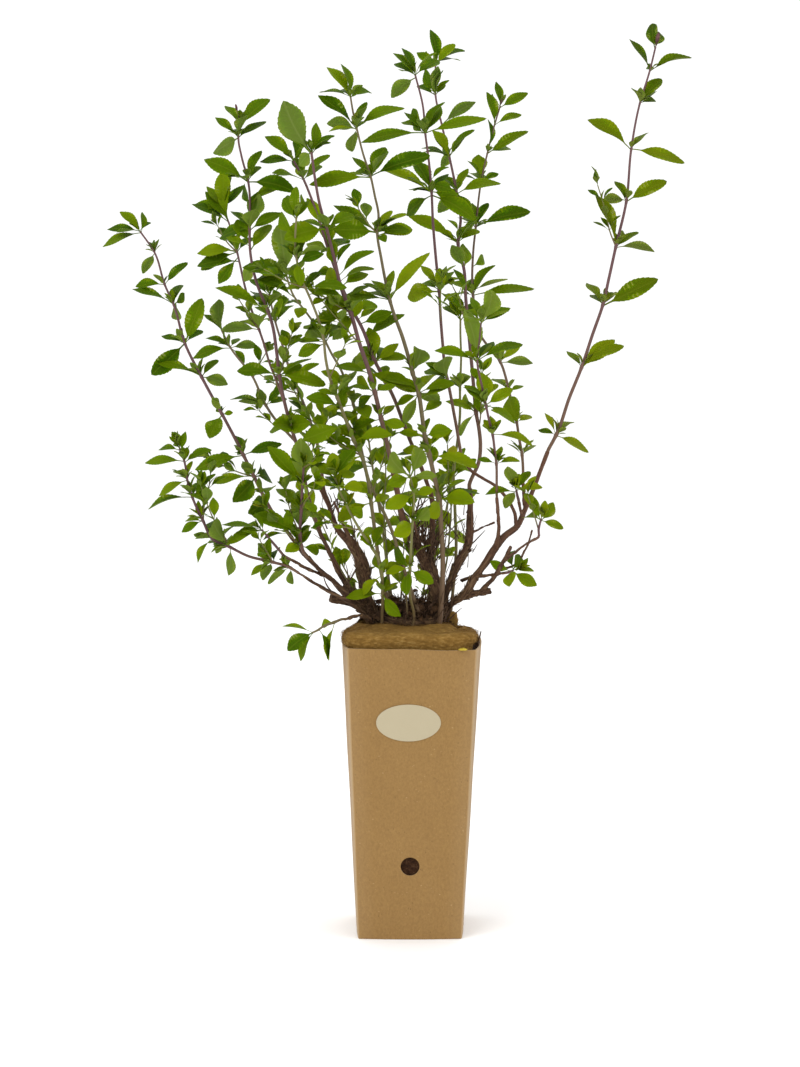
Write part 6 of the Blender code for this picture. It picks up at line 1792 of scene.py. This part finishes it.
def barkRelief(trunk, routes):
    # furrows that run along each limb, with finer grain; the limb's way and a place for its pattern are kept
    spots = [(route[i][0], (route[i + 1][0] - route[i][0]).normalized(), route[i][2] * 0.11 + 0.17 * number)
             for number, route in enumerate(routes) for i in range(len(route) - 1)]
    tree = kdtree.KDTree(len(spots))
    for index, (spot, _, _) in enumerate(spots):
        tree.insert(spot, index)
    tree.balance()
    ways, places = [], []
    drift = woodLook["drift"]
    (furrow, across, along), (grain, fineAcross, fineAlong) = woodLook["furrow"], woodLook["grain"]
    normals = [vertex.normal.copy() for vertex in trunk.data.vertices]
    for vertex, normal in zip(trunk.data.vertices, normals):
        middle, way, run = spots[tree.find(vertex.co)[1]]
        off = vertex.co - middle
        run += off.dot(way)
        off -= way * off.dot(way)
        long = noise.noise(off * across + drift * run * along)
        fine = noise.noise(off * fineAcross + drift * run * fineAlong)
        age = (woodLook["smoothFrom"] - vertex.co.z) / woodLook["smoothDepth"]
        age = min(1.0, max(woodLook["leastRelief"], age))
        ways += way[:]
        places += (off + drift * run * woodLook["patternDrift"])[:]
        vertex.co += normal * (furrow * long + grain * fine) * age
    setValues(trunk.data, "limbWay", "FLOAT_VECTOR", ways)
    setValues(trunk.data, "barkPlace", "FLOAT_VECTOR", places)


def settleFlakes(tree, inputs, where, rotation):
    # loose strips of bark that lie along the wood and peel off at one end
    low = compared(tree, where[2], "LESS_THAN", flakeLook["highest"])
    near = compared(tree, calc(tree, "ABSOLUTE", where[0]), "LESS_THAN", flakeLook["widest"])
    onTrunk = put(tree, "FunctionNodeBooleanMath", {0: low, 1: near}, operation="AND")
    along = namedValue(tree, "limbWay", "FLOAT_VECTOR")
    upright = put(tree, "FunctionNodeAlignRotationToVector", {"Rotation": rotation, "Vector": along},
                  axis="Y", pivot_axis="Z")
    draw = drawn(tree, (0.0, -0.2, -0.35), (2.2, 0.2, 0.35), inputs["Seed"])
    amount = put(tree, "ShaderNodeCombineXYZ", {"X": inputs["Lift"], "Y": 1.0, "Z": 1.0})
    size = drawn(tree, (0.5, 0.35, 0.7), (1.6, 1.3, 1.6), 6)
    return onTrunk, turned(tree, upright, scaled(tree, draw, amount)), size


def makeFlake():
    # one bent strip along +Y, its lower end on the bark
    shape = bmesh.new()
    rings = []
    thick = flakeLook["thickness"] / 2
    for t, wide, up in flakeLook["profile"]:
        half, y, z = flakeLook["width"] / 2 * wide, flakeLook["length"] * (t - 0.1), flakeLook["length"] * up
        rings.append([Vector((-half, y, z - thick)), Vector((half, y, z - thick)),
                      Vector((half * 0.8, y, z + thick)), Vector((-half * 0.8, y, z + thick))])
    loftRings(shape, rings)
    return objectFromShape("flake", shape, smooth=False)


def makeFlakes(names):
    flake = makeFlake()
    lift = {"Lift": ("NodeSocketFloat", flakeLook["lift"])}
    tree = scatterTree("BarkFlakes", "Flake", flakeLook, lift, settleFlakes)
    for name in names:
        flakes = scatter(f"flakes_{name}", bpy.data.objects[f"bark_{name}"], tree,
                         {"Flake": flake, "Material": flakeFinish})
        finishPiece(flakes, "old_wood")
    bpy.data.objects.remove(flake)


for name, branches in woodBranches.items():
    makeTrunk(name, branches)
makeFlakes(woodBranches)
print("trunks made")


# Dead twigs among the trunks, and the twig that stands in the mat's corner

# twigs grow from the wood between "lowest" and "highest" and within "reach", and end within "ends" (mm)
twigLook = {"count": 52, "length": (12 * mm, 40 * mm), "thick": (0.9 * mm, 1.8 * mm), "seed": 211,
            "lowest": 246, "highest": 352, "reach": (-72, 32), "ends": (-76, 42), "parts": 4,
            "forkShare": 0.45, "corners": {"Corner Radius": 0.5}}
# how far fine twigs lean at random, splay per millimetre, bow and reach in spreads from their bunch's middle
bunchLook = {"away": 0.35, "splay": 0.012, "bow": 0.2, "thick": (0.6, 1.2), "reach": 1.75}
# bunches of fine upright twigs: how many, middle as seen (x, z, depth), spread, and length from and to
twigBunches = [(46, (14, 300, 0), (9, 9, 7), (14, 46)), (26, (47, 322, 12), (5, 14, 5), (8, 24)),
               (22, (-61, 333, 0), (5, 9, 6), (8, 22)), (120, (2, 251, -2), (17, 3, 8), (8, 24)),
               (240, (4, 254, -1), (9, 3.5, 6), (7, 19)),
               (12, (20, 253, 4), (3, 3, 5), (6, 14)), (26, (7, 310, -12), (5, 6, 4), (10, 26))]
cornerTwig = [(53.4, 224, -26, 1.4), (54.5, 230, -26, 1.4), (55.8, 236, -27, 1.3), (57.1, 242, -28, 1.1)]


def loneTwigs(rng):
    # bent twigs from any of the limbs, some with a small fork
    hosts = [spot for branches in woodBranches.values() for branch in branches.values()
             for spot in smoothRoute(placed(branch), 4 * mm)
             if withinSpan(spot[0].z, (twigLook["lowest"], twigLook["highest"]))
             and withinSpan(spot[0].x, twigLook["reach"])]
    routes = []
    for _ in range(twigLook["count"]):
        root = hosts[rng.randrange(len(hosts))][0]
        way = compass(rng.uniform(0, tau), rng.uniform(0.3, 1.6))
        length, thick = rng.uniform(*twigLook["length"]), rng.uniform(*twigLook["thick"])
        points = [(root, thick)]
        for k in range(1, twigLook["parts"] + 1):
            way = bent(way, rng, 0.28, -0.1, 0.3)
            points.append((points[-1][0] + way * length / twigLook["parts"], thick * (1 - 0.17 * k)))
        if not withinSpan(points[-1][0].x, twigLook["ends"]):
            continue
        routes.append(smoothRoute(points, 3 * mm))
        if rng.random() < twigLook["forkShare"]:
            forkWay = bent(way, rng, 1, 0, 0.6)
            start = points[2][0]
            end = start + forkWay * length * 0.36 + Vector((0, 0, 1.5 * mm))
            routes.append(smoothRoute([(start, thick * 0.6), (start + forkWay * length * 0.18, thick * 0.5),
                                       (end, thick * 0.3)], 3 * mm))
    return routes


def bunchedTwigs(rng):
    # fine twigs that stand nearly upright, bunched round a middle
    routes = []
    for count, middle, (acrossSpread, upSpread, deepSpread), lengths in twigBunches:
        for _ in range(count):
            x, z = middle[0] + rng.gauss(0, acrossSpread), middle[1] + rng.gauss(0, upSpread)
            root = seenAt(x, max(z, twigLook["lowest"]), middle[2] + rng.gauss(0, deepSpread))
            away, bow = bunchLook["away"], bunchLook["bow"]
            aside, forth = rng.gauss(0, away) + bunchLook["splay"] * (x - middle[0]), rng.gauss(0, away)
            way = Vector((aside, forth, 1)).normalized()
            length, thick = rng.uniform(*lengths) * mm, rng.uniform(*bunchLook["thick"]) * mm
            bend = Vector((rng.gauss(0, bow), rng.gauss(0, bow), 0))
            points = [(root, thick)] + [(root + (way * t + bend * t * t) * length, thick * thinner)
                                        for t, thinner in ((0.33, 0.85), (0.66, 0.7), (1.0, 0.4))]
            if abs(x - middle[0]) < bunchLook["reach"] * acrossSpread:
                routes.append(smoothRoute(points, 4 * mm))
    return routes


def makeDeadTwigs():
    rng = random.Random(twigLook["seed"])
    routes = loneTwigs(rng)
    routes += bunchedTwigs(rng)
    finishPiece(makeRods("dead_twigs", routes, twigFinish, twigLook["corners"]), "old_wood")


def makeCornerTwig():
    twig = makeRods("twig_in_corner", [smoothRoute(placed(cornerTwig), 1.5 * mm)], twigFinish,
                    {"Corner Points": 2, "Corner Radius": 0.9})
    finishPiece(twig, "old_wood", "corner_twig")


makeDeadTwigs()
makeCornerTwig()
print("twigs made")


# Soil: the root ball behind the drilled hole, the crown's mound, its crumbs and what has fallen on it

# crumbs lie above "crumbsFrom"; litter and strands start in the opening, "rightShare" as wide at its right
soilLook = {"inset": 2.0 * mm, "foot": 1.7 * mm, "level": 231 * mm, "pit": 1.6 * mm, "roughFrom": 236 * mm,
            "density": 240000, "crumbSize": 1.5 * mm, "crumbsFrom": 0.241, "seed": 8, "rightShare": 0.62,
            "litterSeed": 41, "litterCount": 330, "litterReach": 0.88, "litterFrom": 250.5, "strandSeed": 97,
            "strandCount": 120, "strandReach": 0.86, "strandEnds": (-44, 34), "strandFloor": 250 * mm}
# share of the mat's opening and height, in millimetres, up the crown's mound
moundSteps = [(0.93, 231.0), (0.93, 238.0), (0.9, 242.0), (0.84, 245.5), (0.76, 248.0), (0.66, 249.6),
              (0.52, 250.6), (0.38, 251.2), (0.24, 251.6), (0.12, 251.8)]


def moundPoint(share, height, angle):
    spot = openingPoint(share, angle, height)
    if height > soilLook["roughFrom"]:
        lump = noise.fractal(spot * 130, 0.9, 2.1, 4)
        spot += Vector((0.3 * cos(angle), 0.3 * sin(angle), 1)) * (1.5 * lump * mm)
    return spot


def makeSoil():
    # the ball follows the pot inside, pitted where the drilled hole shows it, and ends in the crown's mound
    heights = [soilLook["foot"], 25 * mm] + [(44 + 4 * i) * mm for i in range(9)]
    heights += [120 * mm, soilLook["level"]]
    rings = []
    for height in heights:
        ring = []
        for point, _ in potRing(height, soilLook["inset"]):
            rough = 0.5 + 0.5 * noise.noise(point * 260)
            point.z = height
            ring.append(point - Vector((point.x, point.y, 0)).normalized() * soilLook["pit"] * rough)
        rings.append(ring)
    count = len(rings[0])
    start = atan2(rings[0][0].y, rings[0][0].x)
    for share, height in moundSteps:
        rings.append([moundPoint(share, height * mm, start + tau * i / count) for i in range(count)])
    shape = bmesh.new()
    loftRings(shape, rings)
    return objectFromShape("soil_ball", shape)


def settleCrumbs(tree, inputs, where, rotation):
    # crumbs that lie any way round on the mound
    angles = drawn(tree, (-3.1, -3.1, -3.1), (3.1, 3.1, 3.1), 3)
    anyWay = put(tree, "FunctionNodeEulerToRotation", {0: angles})
    size = drawn(tree, (0.3, 0.3, 0.3), (1.3, 1.0, 0.9), 4)
    return compared(tree, where[2], "GREATER_THAN", soilLook["crumbsFrom"]), anyWay, size


def makeCrumbs(soil):
    shape = bmesh.new()
    bmesh.ops.create_icosphere(shape, subdivisions=1, radius=soilLook["crumbSize"])
    for vert in shape.verts:
        vert.co *= 1 + 0.35 * noise.noise(vert.co * 900)
    crumb = addObject("crumb", meshFromShape("crumb", shape))
    tree = scatterTree("SoilCrumbs", "Crumb", soilLook, {}, settleCrumbs)
    crumbs = scatter("soil_crumbs", soil, tree, {"Crumb": crumb, "Material": soilFinish})
    bpy.data.objects.remove(crumb)
    finishPiece(crumbs, "soil")


def inOpening(rng, reach):
    angle, share = rng.uniform(0, tau), reach * sqrt(rng.random())
    return openingPoint(share, angle, 0, soilLook["rightShare"])


def makeLitter():
    # curled dead leaves among the trunks' feet, heaped towards the middle
    rng = random.Random(soilLook["litterSeed"])
    big = leafLook["bigKinds"]
    spray = {"points": [], "turns": [], "sizes": [], "kinds": []}
    for _ in range(soilLook["litterCount"]):
        spot = inOpening(rng, soilLook["litterReach"])
        middle = 1 - min(1.0, spot.length / (44 * mm))
        spot.z = (soilLook["litterFrom"] + rng.uniform(0, 5) + 20 * middle ** 2 * rng.random()) * mm
        length = rng.uniform(6, 15) * mm
        spray["points"].append(spot)
        spray["turns"] += (rng.uniform(-0.9, 0.9), rng.uniform(-1.2, 1.2), rng.uniform(-pi, pi))
        spray["sizes"] += (length * rng.uniform(0.25, 0.45), length, length * rng.uniform(1.0, 3.0))
        spray["kinds"].append(rng.randrange(big, big + leafLook["smallKinds"]))
    finishPiece(leafCopies("crown_litter", spray, litterFinish), "old_wood")


def makeStrands():
    # wiry roots and dead shoots that tangle at the crown
    rng = random.Random(soilLook["strandSeed"])
    routes = []
    for _ in range(soilLook["strandCount"]):
        spot = inOpening(rng, soilLook["strandReach"])
        spot.z = (249 + rng.uniform(0, 3)) * mm
        way = compass(rng.uniform(0, tau), rng.uniform(0.05, 1.5))
        length, thick = rng.uniform(9, 26) * mm, rng.uniform(0.5, 1.3) * mm
        points = [(spot, thick)]
        for k in range(3):
            way = bent(way, rng, 0.5, -0.5, 0.3)
            ahead = points[-1][0] + way * length / 3
            ahead.z = max(ahead.z, soilLook["strandFloor"])
            points.append((ahead, thick * (0.8 - 0.2 * k)))
        if withinSpan(points[-1][0].x, soilLook["strandEnds"]):
            routes.append(smoothRoute(points, 2.5 * mm))
    finishPiece(makeRods("crown_strands", routes, twigFinish, twigLook["corners"]), "old_wood")


soil = makeSoil()
makeCrumbs(soil)
soil.data.materials.append(soilFinish)
finishPiece(soil, "soil", "soil")
makeLitter()
makeStrands()
print("soil, litter and roots made")


# Small things: flower buds at three tips and two fallen yellow leaves

budLook = {"sides": 10, "length": 8.5 * mm, "radius": 1.45 * mm, "ribs": 0.12, "longStalk": 3.2,
           "profile": ((-0.75, 0.20), (-0.3, 0.24), (0.0, 0.38), (0.15, 0.85), (0.45, 1.0), (0.75, 0.92),
                       (0.92, 0.62), (1.0, 0.2))}
# how far above its stem's end a bud stands in millimetres, its size, and its lean to the side
budStems = {"stem_right_outer": (7.5, 1.0, 0.0), "stem_left_tall": (24.0, 0.6, -0.4),
            "stem_right_tall": (3.0, 0.5, 0.0)}
# middle, half length, half width, turn about Z and slope towards the front of each fallen leaf
fallenLeaves = [((41.4, -54.9, 235.0), 3.8, 1.4, 0.06, 0.75), ((16.6, -5.2, 259.6), 3.0, 1.9, 0.7, 0.1)]


def makeBuds():
    shape = bmesh.new()
    for name, (above, size, lean) in budStems.items():
        route = plans[name][0][0]
        tip, below = route[-1][0], route[-2][0]
        way = ((tip - below).normalized() + Vector((lean, -0.35, 0.2))).normalized()
        base = tip + way * above * 0.45 * mm
        rings = []
        for along, wide in budLook["profile"]:
            ring = []
            stalk = budLook["longStalk"] if along < -0.7 and size < 1 else 1.0
            for i in range(budLook["sides"]):
                rib = 1 + budLook["ribs"] * (i % 2)
                out = spoke(way, tau * i / budLook["sides"])
                ring.append(base + way * along * stalk * budLook["length"] * size
                            + out * budLook["radius"] * wide * rib * size)
            rings.append(ring)
        loftRings(shape, rings)
    buds = objectFromShape("flower_buds", shape)
    buds.data.materials.append(budFinish)
    finishPiece(buds, "leafy_stem")


def makeFallenLeaves():
    shape = bmesh.new()
    for (x, y, z), long, wide, turn, slope in fallenLeaves:
        rings = []
        for t in (-1.0, -0.6, 0.0, 0.55, 0.9):
            half = max(0.15, wide * (1 - t * t) ** 0.6)
            middle = Vector((t * long, 0.25 * long * t * t - 0.3, 0.5 * cos(1.6 * t)))
            ring = [middle + Vector((0, half * a, b + slope * half * a))
                    for a, b in ((-1, 0.25), (0, 0.22), (1, 0.25), (0, -0.2))]
            spin = Matrix.Rotation(turn, 3, "Z")
            rings.append([(Vector((x, y, z)) + spin @ point) * mm for point in ring])
        loftRings(shape, rings)
    fallen = objectFromShape("fallen_leaves", shape)
    fallen.data.materials.append(fallenFinish)
    finishPiece(fallen, "leafy_stem")


makeBuds()
makeFallenLeaves()
for spare in list(leafSet.objects):
    bpy.data.objects.remove(spare)
bpy.data.collections.remove(leafSet)
print("buds and fallen leaves made")
